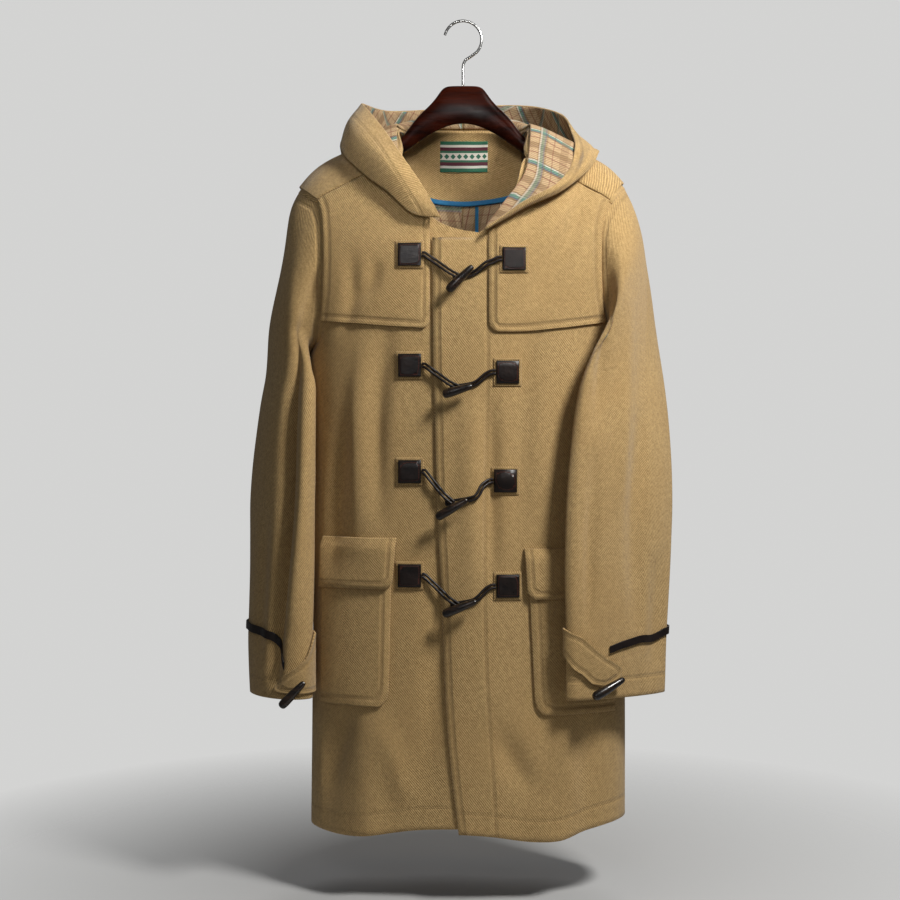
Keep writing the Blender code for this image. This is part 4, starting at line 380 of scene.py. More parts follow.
Pocket = namedtuple("Pocket", "flap_top top flap_bottom bottom flap_x edge_top_x edge_bottom_x "
                    "round_z corner_x")
POCKETS = {              # two patch pockets with their flaps; x is the edge towards the middle
    "left": Pocket(-0.7000, -0.7165, -0.7670, -0.9200, -0.0870, -0.0930, -0.0965, -0.8970,
                   -0.1130),
    "right": Pocket(-0.7140, -0.7305, -0.7800, -0.9300, 0.0780, 0.0830, 0.0910, -0.9050,
                    0.1070),
}

BandRow = namedtuple("BandRow", "around high low")
# Bands on the sleeves: around counts the lines of the sleeve's grid from the top seam forwards,
# high and low count its rings from the armhole down.
CUFF_TABS = {
    "left": (BandRow(3.3, 22.45, 22.68), BandRow(5.3, 22.00, 22.78), BandRow(6.7, 21.55, 22.78),
             BandRow(8.0, 20.75, 22.75), BandRow(8.8, 20.60, 22.70)),
    "right": (BandRow(1.0, 21.95, 22.25), BandRow(2.0, 21.56, 22.55), BandRow(3.2, 21.25, 22.48),
              BandRow(4.4, 21.00, 22.25), BandRow(5.5, 20.80, 22.00), BandRow(7.0, 20.60, 21.50),
              BandRow(8.3, 20.55, 21.35)),
}
CUFF_STRAPS = {
    "left": (BandRow(-4.5, 20.45, 20.70), BandRow(-1.0, 20.48, 20.73), BandRow(0.0, 20.52, 20.77),
             BandRow(2.0, 20.68, 20.93), BandRow(3.0, 20.92, 21.18), BandRow(4.0, 21.32, 21.58),
             BandRow(4.9, 21.66, 21.94)),
    "right": (BandRow(-4.5, 20.62, 20.87), BandRow(-2.4, 20.78, 21.03), BandRow(-1.3, 20.96, 21.21),
              BandRow(0.0, 20.93, 21.18), BandRow(0.7, 21.03, 21.28), BandRow(1.7, 21.22, 21.46)),
}
CuffToggle = namedtuple("CuffToggle", "thick_ring thick_around thin_ring thin_around")
CUFF_TOGGLES = {
    "left": CuffToggle(23.20, 4.9, 22.30, 6.5),
    "right": CuffToggle(22.85, 3.7, 22.30, 1.1),
}

FACING_COLUMNS = 3       # columns of the back's grid that the neck facing covers, each side
FACING_BOTTOM = (HemRow(-0.130, -0.2050), HemRow(-0.060, -0.2300), HemRow(-0.030, -0.2370),
                 HemRow(0.000, -0.2390), HemRow(0.030, -0.2370), HemRow(0.060, -0.2320),
                 HemRow(0.130, -0.2050))
LABEL_HALF = 0.0345
LABEL_X = 0.002
LABEL_TOP = -0.1475
LABEL_BOTTOM = -0.1905
BINDING_WIDTH = 0.0065
BACK_BINDING_X = 0.0205
BACK_BINDING_WIDTH = 0.0050

HangerRow = namedtuple("HangerRow", "x top bottom half_thick")
HANGER = (
    HangerRow(0.000, -0.0870, -0.1387, 0.0075), HangerRow(0.015, -0.0870, -0.1405, 0.0075),
    HangerRow(0.027, -0.0880, -0.1450, 0.0075), HangerRow(0.036, -0.1030, -0.1490, 0.0078),
    HangerRow(0.046, -0.1145, -0.1545, 0.0082), HangerRow(0.056, -0.1235, -0.1610, 0.0090),
    HangerRow(0.068, -0.1365, -0.1700, 0.0105), HangerRow(0.080, -0.1555, -0.1790, 0.0110),
    HangerRow(0.100, -0.1710, -0.1910, 0.0110), HangerRow(0.130, -0.1728, -0.2020, 0.0135),
    HangerRow(0.162, -0.1888, -0.2170, 0.0140), HangerRow(0.185, -0.2008, -0.2290, 0.0135),
    HangerRow(0.192, -0.2070, -0.2310, 0.0100),
)
HANGER_GAP = 0.0030      # hanger's top below the cloth's inner face along the ridge
HOOK_RADIUS = 0.0255
HOOK_WIRE = 0.0019


# ---------------------------------------------------------------- tables as smooth curves
def curve(rows, key, column):
    """A smooth curve through one column of a table, without overshoot between its rows."""
    at = np.array([getattr(row, key) for row in rows], float)
    value = np.array([getattr(row, column) for row in rows], float)
    if at[0] > at[-1]:
        at, value = at[::-1], value[::-1]
    step = np.diff(at)
    rise = np.diff(value) / step
    slope = np.zeros(len(at))
    slope[0], slope[-1] = rise[0], rise[-1]
    for i in range(1, len(at) - 1):
        if rise[i - 1] * rise[i] > 0:
            slope[i] = 2 * rise[i - 1] * rise[i] / (rise[i - 1] + rise[i])

    def read(x):
        x = np.clip(x, at[0], at[-1])
        i = np.clip(np.searchsorted(at, x) - 1, 0, len(step) - 1)
        t = (x - at[i]) / step[i]
        return (value[i] * (1 + 2 * t) * (1 - t) ** 2 + value[i + 1] * t * t * (3 - 2 * t)
                + step[i] * (slope[i] * t * (1 - t) ** 2 - slope[i + 1] * t * t * (1 - t)))

    return read


def constant(value):
    return lambda _: value


def smooth_step(t):
    t = np.clip(t, 0.0, 1.0)
    return t * t * (3 - 2 * t)


centre_x = curve(BODY_SECTIONS, "z", "centre")
half_width = curve(BODY_SECTIONS, "z", "half_width")
front_depth = curve(BODY_SECTIONS, "z", "front")
back_depth = curve(BODY_SECTIONS, "z", "back")
ridge_z = curve(RIDGE, "x", "z")
front_armhole = curve(FRONT_ARMHOLE, "z", "x")
back_armhole = curve(BACK_ARMHOLE, "z", "x")
back_armhole_top = curve(BACK_ARMHOLE_TOP, "turn", "x")
lap_edge = curve(LAP_EDGE, "z", "x")
facing_stitch = curve(FACING_STITCH, "z", "x")
patch_right = curve(PATCH_RIGHT, "z", "x")
left_hem = curve(LEFT_HEM, "x", "z")
right_hem = curve(RIGHT_HEM, "x", "z")
back_hem = curve(BACK_HEM, "x", "z")


# ---------------------------------------------------------------- the body's form
def middle_y(x):
    """Depth of the plane between front and back, which follows the hanger's swept arms."""
    return -ARM_SWEEP * (x / ARM_REACH) ** 2


def fold_height(x, z, folds):
    """Sum of the soft folds at a place on the form."""
    total = np.zeros(np.broadcast(x, z).shape)
    for fold in folds:
        down = (fold.z_top - z) / (fold.z_top - fold.z_bottom)
        line = fold.x_top + (fold.x_bottom - fold.x_top) * np.clip(down, 0, 1)
        fade = smooth_step(down * 3) * smooth_step((1.25 - down) * 4)
        total = total + fold.height * fade * np.exp(-((x - line) / fold.width) ** 2)
    return total


def form_point(x, turn):
    """Point of the form at x, turned by an angle over the shoulder ridge.

    The angle, in radians, is minus in front and plus behind. Past a quarter turn the form goes
    straight down, by one rounding height for each radian.
    """
    x = np.asarray(x, float)
    turn = np.asarray(turn, float)
    behind = turn > 0
    rounding = np.where(behind, BACK_ROUND, FRONT_ROUND)
    bend = np.minimum(np.abs(turn), math.pi / 2)
    past = np.maximum(np.abs(turn) - math.pi / 2, 0)
    z = ridge_z(np.abs(x)) - rounding * (1 - np.cos(bend) + past)
    power = np.where(behind, BACK_POWER, FRONT_POWER)
    across = np.clip(np.abs(x - centre_x(z)) / half_width(z), 0, 1)
    span = (1 - across ** power) ** (1 / power)
    depth = np.where(behind, back_depth(z), front_depth(z)) * span * np.sin(bend)
    fold = np.where(behind, fold_height(x, z, BACK_FOLDS), fold_height(x, z, FRONT_FOLDS))
    depth = depth + fold * np.minimum(span * 2, 1)
    y = middle_y(x) + np.where(behind, depth, -depth)
    return np.stack(np.broadcast_arrays(x, y, z), axis=-1)


def turn_at(x, z, side):
    """Angle over the ridge at which the form passes height z, on the front (-1) or back (1)."""
    rounding = BACK_ROUND if side > 0 else FRONT_ROUND
    drop = np.maximum(ridge_z(np.abs(x)) - z, 0) / rounding
    return side * np.where(drop < 1, np.arccos(np.clip(1 - drop, -1, 1)),
                           math.pi / 2 + drop - 1)


def form_normal(x, turn):
    """Outward unit normal of the form."""
    dx, dt = 1e-5, 1e-4
    along = form_point(x + dx, turn) - form_point(x - dx, turn)
    over = form_point(x, turn + dt) - form_point(x, turn - dt)
    normal = np.cross(along, over)
    length = np.linalg.norm(normal, axis=-1, keepdims=True)
    return normal / np.maximum(length, 1e-15)


def outside_distance(points):
    """How far points are outside the form, and the direction that leads away from it."""
    def measure(p):
        x, y, z = p[..., 0], p[..., 1], p[..., 2]
        behind = y > middle_y(x)
        rounding = np.where(behind, BACK_ROUND, FRONT_ROUND)
        power = np.where(behind, BACK_POWER, FRONT_POWER)
        across = np.abs(x - centre_x(z)) / half_width(z)
        depth = np.where(behind, back_depth(z), front_depth(z))
        up = np.maximum(z - (ridge_z(np.abs(x)) - rounding), 0) / rounding
        out = np.sqrt(((y - middle_y(x)) / depth) ** 2
                      + (up * np.maximum(1 - across ** power, 1e-6) ** (1 / power)) ** 2)
        return (across ** power + out ** power) ** (1 / power)

    here = measure(points)
    gradient = np.zeros(points.shape)
    for axis in range(3):
        shift = np.zeros(3)
        shift[axis] = 1e-5
        gradient[..., axis] = (measure(points + shift) - measure(points - shift)) / 2e-5
    size = np.maximum(np.linalg.norm(gradient, axis=-1), 1e-9)
    return (here - 1) / size, gradient / size[..., None]


def pushed_clear(points, clearance):
    """Points moved out, where they need it, to stay clear of the form."""
    for _ in range(6):
        distance, away = outside_distance(points)
        short = np.maximum(clearance - distance, 0)
        points = points + away * short[..., None]
    return points


# ---------------------------------------------------------------- grids of cloth
Grid = namedtuple("Grid", "points normals")


def at_index(grid, row, column):
    """Point and normal at a fractional row and column, on the grid's own flat triangles."""
    rows, columns = grid.points.shape[:2]
    r = min(max(int(math.floor(row)), 0), rows - 2)
    c = min(max(int(math.floor(column)), 0), columns - 2)
    s, t = row - r, column - c
    result = []
    for data in (grid.points, grid.normals):
        first, last = data[r, c], data[r + 1, c + 1]
        if t >= s:
            turn = data[r, c + 1]
            result.append(first + t * (turn - first) + s * (last - turn))
        else:
            turn = data[r + 1, c]
            result.append(first + s * (turn - first) + t * (last - turn))
    return result


def crossing(count, level):
    """First index along a line of a grid at which level(index) changes sign."""
    before = level(0.0)
    for i in range(1, count):
        after = level(float(i))
        if before == 0 or before * after < 0:
            low, high = i - 1.0, float(i)
            for _ in range(30):
                middle = (low + high) / 2
                if before * level(middle) <= 0:
                    high = middle
                else:
                    low = middle
            return (low + high) / 2
        before = after
    return 0.0 if abs(level(0.0)) < abs(level(count - 1.0)) else count - 1.0


def find_column(grid, row, x_of_z):
    def level(column):
        point = at_index(grid, row, column)[0]
        return point[0] - x_of_z(point[2])
    return crossing(grid.points.shape[1], level)


def find_row(grid, column, z_of_x):
    def level(row):
        point = at_index(grid, row, column)[0]
        return point[2] - z_of_x(point[0])
    return crossing(grid.points.shape[0], level)


def line_index(edge, count, own):
    """Index of an edge given as a line of the grid; minus counts back from the last line."""
    if edge is None:
        return own
    return edge if edge >= 0 else count - 1 + edge


def corner(grid, x_edge, z_edge, row, column):
    """Row and column where two edges cross; an edge that is no function stays where it is."""
    for _ in range(12):
        if callable(z_edge):
            row = find_row(grid, column, z_edge)
        if callable(x_edge):
            column = find_column(grid, row, x_edge)
    return row, column


def cut_out(grid, near=None, far=None, top=None, bottom=None, margin=0.12):
    """The part of a grid between four edges, as a grid of its own.

    near and far are functions that give x for a height, top and bottom give z for an x, or
    each is a line of the grid by its index. An edge left out is the grid's own. The new grid
    keeps every line of the old one that it covers.
    """
    rows, columns = grid.points.shape[:2]
    corners = {}
    for up, z_edge, own_row in (("top", top, 0.0), ("bottom", bottom, rows - 1.0)):
        for side, x_edge, own_column in (("near", near, 0.0), ("far", far, columns - 1.0)):
            row = rows / 2 if callable(z_edge) else line_index(z_edge, rows, own_row)
            column = (columns / 2 if callable(x_edge)
                      else line_index(x_edge, columns, own_column))
            corners[up, side] = corner(grid, x_edge, z_edge, row, column)
    first_column = max(corners["top", "near"][1], corners["bottom", "near"][1])
    last_column = min(corners["top", "far"][1], corners["bottom", "far"][1])
    inner_columns = [c for c in range(columns)
                     if first_column + margin < c < last_column - margin]

    def inner_edge(up, z_edge):
        own = corners[up, "near"][0]
        places = [(find_row(grid, column, z_edge) if callable(z_edge) else own, column)
                  for column in inner_columns]
        return [corners[up, "near"]] + places + [corners[up, "far"]]

    return between(grid, inner_edge("top", top), inner_edge("bottom", bottom), near, far, margin)


def between(grid, above, below, near=None, far=None, margin=0.12):
    """The part of a grid between two lines of places, each place a row and a column."""
    first_row = min(row for row, _ in above)
    last_row = max(row for row, _ in below)
    inner_rows = [r for r in range(grid.points.shape[0])
                  if first_row + margin < r < last_row - margin]
    lines = [above]
    for k, wanted in enumerate(inner_rows):
        line = []
        for j, (high, low) in enumerate(zip(above, below)):
            least = min(0.06, (low[0] - high[0]) / (2 * len(inner_rows) + 2))
            row = min(max(wanted, high[0] + least * (k + 1)),
                      low[0] - least * (len(inner_rows) - k))
            edge = near if j == 0 else (far if j == len(above) - 1 else None)
            line.append((row, find_column(grid, row, edge) if callable(edge) else high[1]))
        lines.append(line)
    lines.append(below)
    found = [[at_index(grid, *place) for place in line] for line in lines]
    return Grid(np.array([[place[0] for place in line] for line in found]),
                np.array([[place[1] for place in line] for line in found]))


def place_on(grid, x, z, lift):
    """Point above a grid's own facets at x and z."""
    rows, columns = grid.points.shape[:2]
    row, column = corner(grid, constant(x), constant(z), rows / 2, columns / 2)
    point, normal = at_index(grid, row, column)
    return point + normal / np.linalg.norm(normal) * lift


def lifted(grid, height):
    return Grid(grid.points + grid.normals * height, grid.normals)


def smooth_normals(points, closed=False):
    """Normals of a grid by central differences; closed joins its last column to its first."""
    if closed:
        around = np.roll(points, -1, axis=1) - np.roll(points, 1, axis=1)
    else:
        around = np.gradient(points, axis=1)
    along = np.gradient(points, axis=0)
    normal = np.cross(along, around)
    return normal / np.maximum(np.linalg.norm(normal, axis=-1, keepdims=True), 1e-12)


# ---------------------------------------------------------------- fine grids
def refined_lines(values, steps, closed=False):
    """More points along the first axis, on smooth curves through the given ones."""
    count = len(values)
    if closed:
        values = np.concatenate([values[-2:], values, values[:3]])
    step = values[1:] - values[:-1]
    length = np.maximum(np.linalg.norm(step, axis=-1, keepdims=True), 1e-7)
    slope = step / length
    tangent = np.empty_like(values)
    before, after = length[:-1], length[1:]
    tangent[1:-1] = (after * slope[:-1] + before * slope[1:]) / (before + after)
    tangent[0] = 1.5 * slope[0] - 0.5 * tangent[1]
    tangent[-1] = 1.5 * slope[-1] - 0.5 * tangent[-2]
    lines = []
    for k in range(steps):
        t = k / steps
        lines.append((2 * t ** 3 - 3 * t ** 2 + 1) * values[:-1]
                     + (t ** 3 - 2 * t ** 2 + t) * length * tangent[:-1]
                     + (3 * t ** 2 - 2 * t ** 3) * values[1:]
                     + (t ** 3 - t ** 2) * length * tangent[1:])
    fine = np.stack(lines, axis=1).reshape((-1,) + values.shape[1:])
    fine = np.concatenate([fine, values[-1:]])
    if closed:
        return fine[2 * steps:(2 + count) * steps]
    return fine


def refined(grid, closed=False, rows=None, columns=None):
    """A grid with FR steps in each of its row intervals and FC in each column interval."""
    rows, columns = rows or FR, columns or FC
    result = []
    for data in grid:
        data = refined_lines(data, rows)
        turned = refined_lines(np.swapaxes(data, 0, 1), columns, closed)
        result.append(np.swapaxes(turned, 0, 1))
    points, normals = result
    normals = normals / np.maximum(np.linalg.norm(normals, axis=-1, keepdims=True), 1e-9)
    return Grid(points, normals)


def creased(grid, creases, facing):
    """The grid with soft troughs and ridges laid along lines given by x and z."""
    points = grid.points.copy()
    x, z = points[..., 0], points[..., 2]
    if facing:
        seen = smooth_step((grid.normals[..., 1] * facing + 0.05) / 0.35)
    else:
        seen = 1.0
    total = np.zeros(x.shape)
    for crease in creases:
        line = spline_through([(a, 0, b) for a, b in crease.line], 4)[:, (0, 2)]
        best = np.full(x.shape, 1e9)
        share = np.zeros(x.shape)
        for k in range(len(line) - 1):
            a, b = line[k], line[k + 1]
            d = b - a
            t = ((x - a[0]) * d[0] + (z - a[1]) * d[1]) / max(d @ d, 1e-12)
            t = np.clip(t, 0, 1)
            away = np.hypot(x - a[0] - t * d[0], z - a[1] - t * d[1])
            share = np.where(away < best, (k + t) / (len(line) - 1), share)
            best = np.minimum(best, away)
        fade = np.sin(np.pi * np.clip(share * 0.92 + 0.04, 0, 1)) ** 0.6
        total += 1.35 * crease.depth * fade * np.exp(-(best / crease.width) ** 2)
    return Grid(points + grid.normals * (total * seen)[..., None], grid.normals)


def armhole_edge(front, back):
    """The armhole's own edge on the fine panels, for each fine column of a sleeve."""
    ridge_row = BACK_TURNS.index(0)
    underarm_front = FAN_STEPS + LEFT_LEVELS.index(UNDERARM_Z)
    underarm_back = len(BACK_TURNS) + 1 + BACK_LEVELS.index(UNDERARM_Z)
    spans = [(back, r, r - 1) for r in range(ridge_row, 0, -1)]
    spans += [(front, r, r + 1) for r in range(underarm_front)]
    spans += [(back, r, r - 1) for r in range(underarm_back, ridge_row, -1)]
    edge = []
    for grid, first, last in spans:
        for k in range(FC):
            row = (first + (last - first) * k / FC) * FR
            low = min(int(row), grid.points.shape[0] - 2)
            a, b = grid.points[low, -1], grid.points[low + 1, -1]
            edge.append(a + (b - a) * (row - low))
    return np.array(edge)


def joined(sleeve, edge, side):
    """The sleeve's fine grid with its first rings brought to the armhole's edge."""
    points = sleeve.points.copy()
    gap = edge - np.array([side * SEAM * 2, 0, 0]) - points[0]
    for r in range(3 * FR):
        points[r] += gap * (1 - smooth_step(r / (3.0 * FR)))
    return Grid(points, sleeve.normals)


# ---------------------------------------------------------------- objects
def add_object(name, data, materials):
    thing = bpy.data.objects.new(name + ".look", data)
    bpy.context.scene.collection.objects.link(thing)
    for material in materials:
        data.materials.append(material)
    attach(thing, "root")
    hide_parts(name)
    return thing


def arcs(points, axis):
    step = np.linalg.norm(np.diff(points, axis=axis), axis=-1)
    total = np.cumsum(step, axis=axis)
    shape = list(points.shape[:2])
    shape[axis] = 1
    return np.concatenate([np.zeros(shape), total], axis=axis)


def from_edges(outer, edges):
    """Distance of every point of a grid from some of its edges, and the way along them."""
    sides = {"top": outer[0, ::-1], "near": outer[:, 0], "bottom": outer[-1],
             "far": outer[::-1, -1]}
    line = np.concatenate([side for title, side in sides.items() if title in edges.split("+")])
    away = np.full(outer.shape[:2], 1e9)
    along = np.zeros(outer.shape[:2])
    passed = 0.0
    for a, b in zip(line[:-1], line[1:]):
        d = b - a
        length = float(np.linalg.norm(d))
        if length < 1e-7:
            continue
        t = np.clip((outer - a) @ d / length ** 2, 0, 1)
        gap = np.linalg.norm(outer - a - t[..., None] * d, axis=-1)
        along = np.where(gap < away, passed + t * length, along)
        away = np.minimum(away, gap)
        passed += length
    return away, along


def cloth(name, outer, inner, material):
    """A wall of cloth between two grids of points, its edge rounded, with maps in metres.

    The first map carries the weave. Each of the others belongs to one line of stitches: its u
    is the distance from the line and its v runs along it.
    """
    rows, columns = outer.shape[:2]
    count = rows * columns
    over, down = arcs(outer, 1), arcs(outer, 0)
    if name in PLANAR:
        x, y, z = outer[..., 0], outer[..., 1], outer[..., 2]
        weave = np.stack([x + np.sign(x) * np.maximum(0, y + 0.085) * 0.6, -z], axis=-1)
    else:
        run = down - down[-1:] if name.startswith("sleeve") else down
        weave = np.stack([over - over[:, columns // 2:columns // 2 + 1], run], axis=-1)
    maps = [("weave", weave)]
    for k, (edge, offset, _) in enumerate(STITCHES.get(name, ())):
        if "+" in edge:
            away, along = from_edges(outer, edge)
            lines = (away - offset, along)
        elif edge == "near":
            lines = (over - offset, down)
        elif edge == "far":
            lines = (over[:, -1:] - over - offset, down)
        elif edge == "top":
            lines = (down - offset, over)
        elif edge == "bottom":
            lines = (down[-1:] - down - offset, over)
        elif edge == "facing":
            lines = (outer[..., 0] - facing_stitch(outer[..., 2]) - offset, down)
        maps.append(("stitch%d" % k, np.stack(lines, axis=-1)))

    ring = [(0, c) for c in range(columns)]
    ring += [(r, columns - 1) for r in range(1, rows)]
    ring += [(rows - 1, c) for c in range(columns - 2, -1, -1)]
    ring += [(r, 0) for r in range(rows - 2, 0, -1)]
    border = np.array([r * columns + c for r, c in ring])
    middle = (outer + inner).reshape(-1, 3)[border] / 2
    faces_flat = [outer.copy(), inner.copy()]
    for face in faces_flat:
        edged = face.copy()
        for r, c in ring:
            if name.startswith("sleeve") and 0 < r < rows - 1:
                continue
            inward = face[min(max(r, 1), rows - 2), min(max(c, 1), columns - 2)] - face[r, c]
            length = max(float(np.linalg.norm(inward)), 1e-9)
            edged[r, c] = face[r, c] + inward * min(0.0009 / length, 0.45)
        face[:] = edged
    vertices = np.concatenate([faces_flat[0].reshape(-1, 3), faces_flat[1].reshape(-1, 3),
                               middle])
    a = (np.arange(rows - 1)[:, None] * columns + np.arange(columns - 1)).reshape(-1)
    quads = np.stack([a, a + 1, a + columns + 1, a + columns], axis=-1)
    back = quads[:, ::-1] + count
    here = np.arange(len(ring))
    following = (here + 1) % len(ring)
    rim_a = np.stack([border[following], border[here], 2 * count + here,
                      2 * count + following], axis=-1)
    rim_b = np.stack([2 * count + following, 2 * count + here, border[here] + count,
                      border[following] + count], axis=-1)
    faces = np.concatenate([quads, back, rim_a, rim_b])
    mesh = bpy.data.meshes.new(name)
    mesh.from_pydata(vertices.tolist(), [], faces.tolist())
    index = np.zeros(len(faces), dtype=np.int32)
    index[len(quads):2 * len(quads)] = 1
    mesh.polygons.foreach_set("material_index", index)
    mesh.polygons.foreach_set("use_smooth", np.ones(len(faces), dtype=bool))
    if name.startswith("sleeve"):
        ends = np.zeros(2 * len(mesh.edges), dtype=np.int32)
        mesh.edges.foreach_get("vertices", ends)
        ends = ends.reshape(-1, 2)
        line = ends % count % columns
        on_seam = ((np.abs(ends[:, 0] - ends[:, 1]) == columns) & (ends.max(axis=1) < 2 * count)
                   & ((line[:, 0] == 0) | (line[:, 0] == columns - 1)))
        mesh.edges.foreach_set("use_edge_sharp", on_seam)
    corners = np.zeros(len(mesh.loops), dtype=np.int32)
    mesh.loops.foreach_get("vertex_index", corners)
    for title, values in maps:
        flat = values.reshape(-1, 2)
        every = np.concatenate([flat, flat, flat[border]])
        layer = mesh.uv_layers.new(name=title)
        layer.data.foreach_set("uv", every[corners].astype(np.float32).reshape(-1))
    side = outer[rows // 2, columns // 2] - inner[rows // 2, columns // 2]
    centre = mesh.polygons[(rows // 2) * (columns - 1) + columns // 2]
    if centre.normal.dot(tuple(side)) < 0:
        mesh.flip_normals()
    mesh.update()
    first, second = material if isinstance(material, tuple) else (material, material)
    piece = add_object(name, mesh, (first, second))
    step = np.linalg.norm(np.cross(outer[1:, 1:] - outer[:-1, :-1],
                                   outer[1:, :-1] - outer[:-1, 1:]), axis=-1)
    area = float(step.sum()) / 2
    width, length = float(over[:, -1].max()), float(down[-1].max())
    if area < 0.3 * width * length or area > width * length:
        length = area / width
    return piece


def wall(name, grid, thickness, material, lift=0.0):
    """Cloth whose inner face is lifted off the grid, or, with no lift, lies inside it."""
    if lift > 0:
        return cloth(name, grid.points + grid.normals * (lift + thickness),
                     grid.points + grid.normals * lift, material)
    return cloth(name, grid.points + grid.normals * lift,
                 grid.points + grid.normals * (lift - thickness), material)


def tube(name, points, radius, material, radii=None, sides=5):
    """A round cord, wire or horn along a line of points; radii scale it from point to point."""
    scales = [1.0] * len(points) if radii is None else list(radii)
    four = [(*[float(v) for v in place], scale) for place, scale in zip(points, scales)]
    fine = spline_through(four, 4)
    line = bpy.data.curves.new(name, "CURVE")
    line.dimensions = "3D"
    line.bevel_depth = radius
    line.bevel_resolution = sides
    line.use_fill_caps = True
    spline = line.splines.new("POLY")
    spline.points.add(len(fine) - 1)
    for i, place in enumerate(fine):
        spline.points[i].co = (*[float(v) for v in place[:3]], 1)
        spline.points[i].radius = float(place[3])
    spline.use_smooth = True
    return add_object(name, line, (material,))

def spline_through(places, steps):
    """Smooth line through a few places, with a number of steps in each span."""
    places = [np.array(place, float) for place in places]
    padded = [2 * places[0] - places[1]] + places + [2 * places[-1] - places[-2]]
    line = []
    for i in range(1, len(padded) - 2):
        p0, p1, p2, p3 = padded[i - 1:i + 3]
        count = steps[i - 1] if isinstance(steps, (tuple, list)) else steps
        for k in range(count):
            t = k / count
            line.append(0.5 * (2 * p1 + (p2 - p0) * t + (2 * p0 - 5 * p1 + 4 * p2 - p3) * t * t
                               + (3 * p1 - p0 - 3 * p2 + p3) * t ** 3))
    line.append(places[-1])
    return np.array(line)


# ---------------------------------------------------------------- body panels
LEFT_LEVELS = (-0.310, -0.352, -0.3945, -0.430, -0.458, -0.530, -0.610, -0.700, -0.713,
               -0.767, -0.830, -0.897, -0.970, -1.030)
RIGHT_LEVELS = (-0.310, -0.352, -0.3945, -0.430, -0.458, -0.530, -0.610, -0.714, -0.727,
                -0.780, -0.840, -0.905, -0.975, -1.030)
FAN_STEPS = 3            # rows between neckline and shoulder seam, and the level below them
SIDE_SHARES = (0.0, 0.30, 0.55, 0.74, 0.87)


def side_columns(inner_x, side, z):
    """x of the columns between the front's middle and its side seam or armhole."""
    edge = half_width(z) if z <= UNDERARM_Z + 1e-9 else front_armhole(z)
    outer_x = float(centre_x(z) + side * edge)
    columns = [inner_x + share * (outer_x - inner_x) for share in SIDE_SHARES]
    return columns + [outer_x - side * SIDE_STRIP, outer_x]


def front_inner_columns(side, z):
    if side < 0:
        return [LAP_END_X, float(lap_edge(z)) - 0.0018, PATCH_LEFT_X, POCKET_LEFT_X]
    return [float(lap_edge(z)), float(facing_stitch(z)), float(patch_right(z)), LAP_FADE_X]


def front_top_places(side):
    """Top edge of a front, as (x, z) for each column: neckline, then shoulder seam."""
    neck = curve(FRONT_NECK, "x", "drop")
    if side < 0:
        middle = [(LAP_END_X, -0.303)]
        hood_x = (0.041, 0.066, JUNCTION_X)
    else:
        middle = [(float(lap_edge(YOKE_Z)), -0.309)]
        hood_x = (NECK_END_X + 0.001, 0.066, JUNCTION_X)
    places = middle + [(side * x, float(ridge_z(x) - neck(x))) for x in hood_x]
    end_x = float(centre_x(-0.2575) + side * 0.1975)
    start_x = side * JUNCTION_X
    for share in SIDE_SHARES[1:]:
        x = start_x + share * (end_x - start_x)
        places.append((x, float(ridge_z(abs(x))) - SEAM_DROP))
    for x in (end_x - side * SIDE_STRIP, end_x):
        places.append((x, float(ridge_z(abs(x))) - SEAM_DROP))
    return [(x, z - SEAM / 2) for x, z in places]


def grid_on_form(xs, zs, side):
    turn = turn_at(xs, zs, side)
    return Grid(form_point(xs, turn), form_normal(xs, turn))


def with_side_seam(grid, first_row, side, facing):
    """Sets the two last columns of a body panel square to the side seam, below the armhole."""
    points, normals = grid.points.copy(), grid.normals.copy()
    for r in range(first_row, points.shape[0]):
        z = points[r, -1, 2]
        x = centre_x(z) + side * half_width(z)
        middle = middle_y(x)
        points[r, -1] = (x, middle + facing * SEAM / 2, z)
        points[r, -2] = (x - side * 0.0002, middle + facing * SIDE_STRIP, points[r, -2, 2])
        normals[r, -1] = (side, 0, 0)
        normals[r, -2] = (side, 0, 0)
    return Grid(points, normals)


def front_grid(side):
    """Grid of one front panel, on its outer face: side is -1 for the left, 1 for the right."""
    levels = LEFT_LEVELS if side < 0 else RIGHT_LEVELS
    level_rows = [front_inner_columns(side, z)[:-1]
                  + side_columns(front_inner_columns(side, z)[-1], side, z)
                  for z in levels]
    count = len(level_rows[0])
    top = front_top_places(side)
    xs, zs = [[x for x, _ in top]], [[z for _, z in top]]
    for k in range(1, FAN_STEPS):
        share = k / FAN_STEPS
        row_x = [a + share * (b - a) for a, b in zip(xs[0], level_rows[0])]
        row_z = [a + share * (YOKE_Z - a) for a in zs[0]]
        arm_x = float(centre_x(row_z[-1]) + side * front_armhole(row_z[-1]))
        row_x[-2:] = [arm_x - side * SIDE_STRIP, arm_x]
        xs.append(row_x)
        zs.append(row_z)
    for z, row in zip(levels, level_rows):
        xs.append(row)
        zs.append([z] * count)
    hem = left_hem if side < 0 else right_hem
    bottom = front_inner_columns(side, -1.085)[:-1] + side_columns(
        front_inner_columns(side, -1.085)[-1], side, -1.085)
    xs.append(bottom)
    zs.append([float(hem(x)) for x in bottom])
    xs, zs = np.array(xs), np.array(zs)
    grid = grid_on_form(xs, zs, -1)
    grid = with_side_seam(grid, FAN_STEPS + levels.index(UNDERARM_Z), side, -1)
    if side > 0:
        fade = 1 - smooth_step((grid.points[..., 0] - facing_stitch(grid.points[..., 2]))
                               / (LAP_FADE_X - 0.031))
        over = (CLOTH + LAYER_GAP * 1.5) * fade
        grid = Grid(grid.points + grid.normals * over[..., None], grid.normals)
    return grid


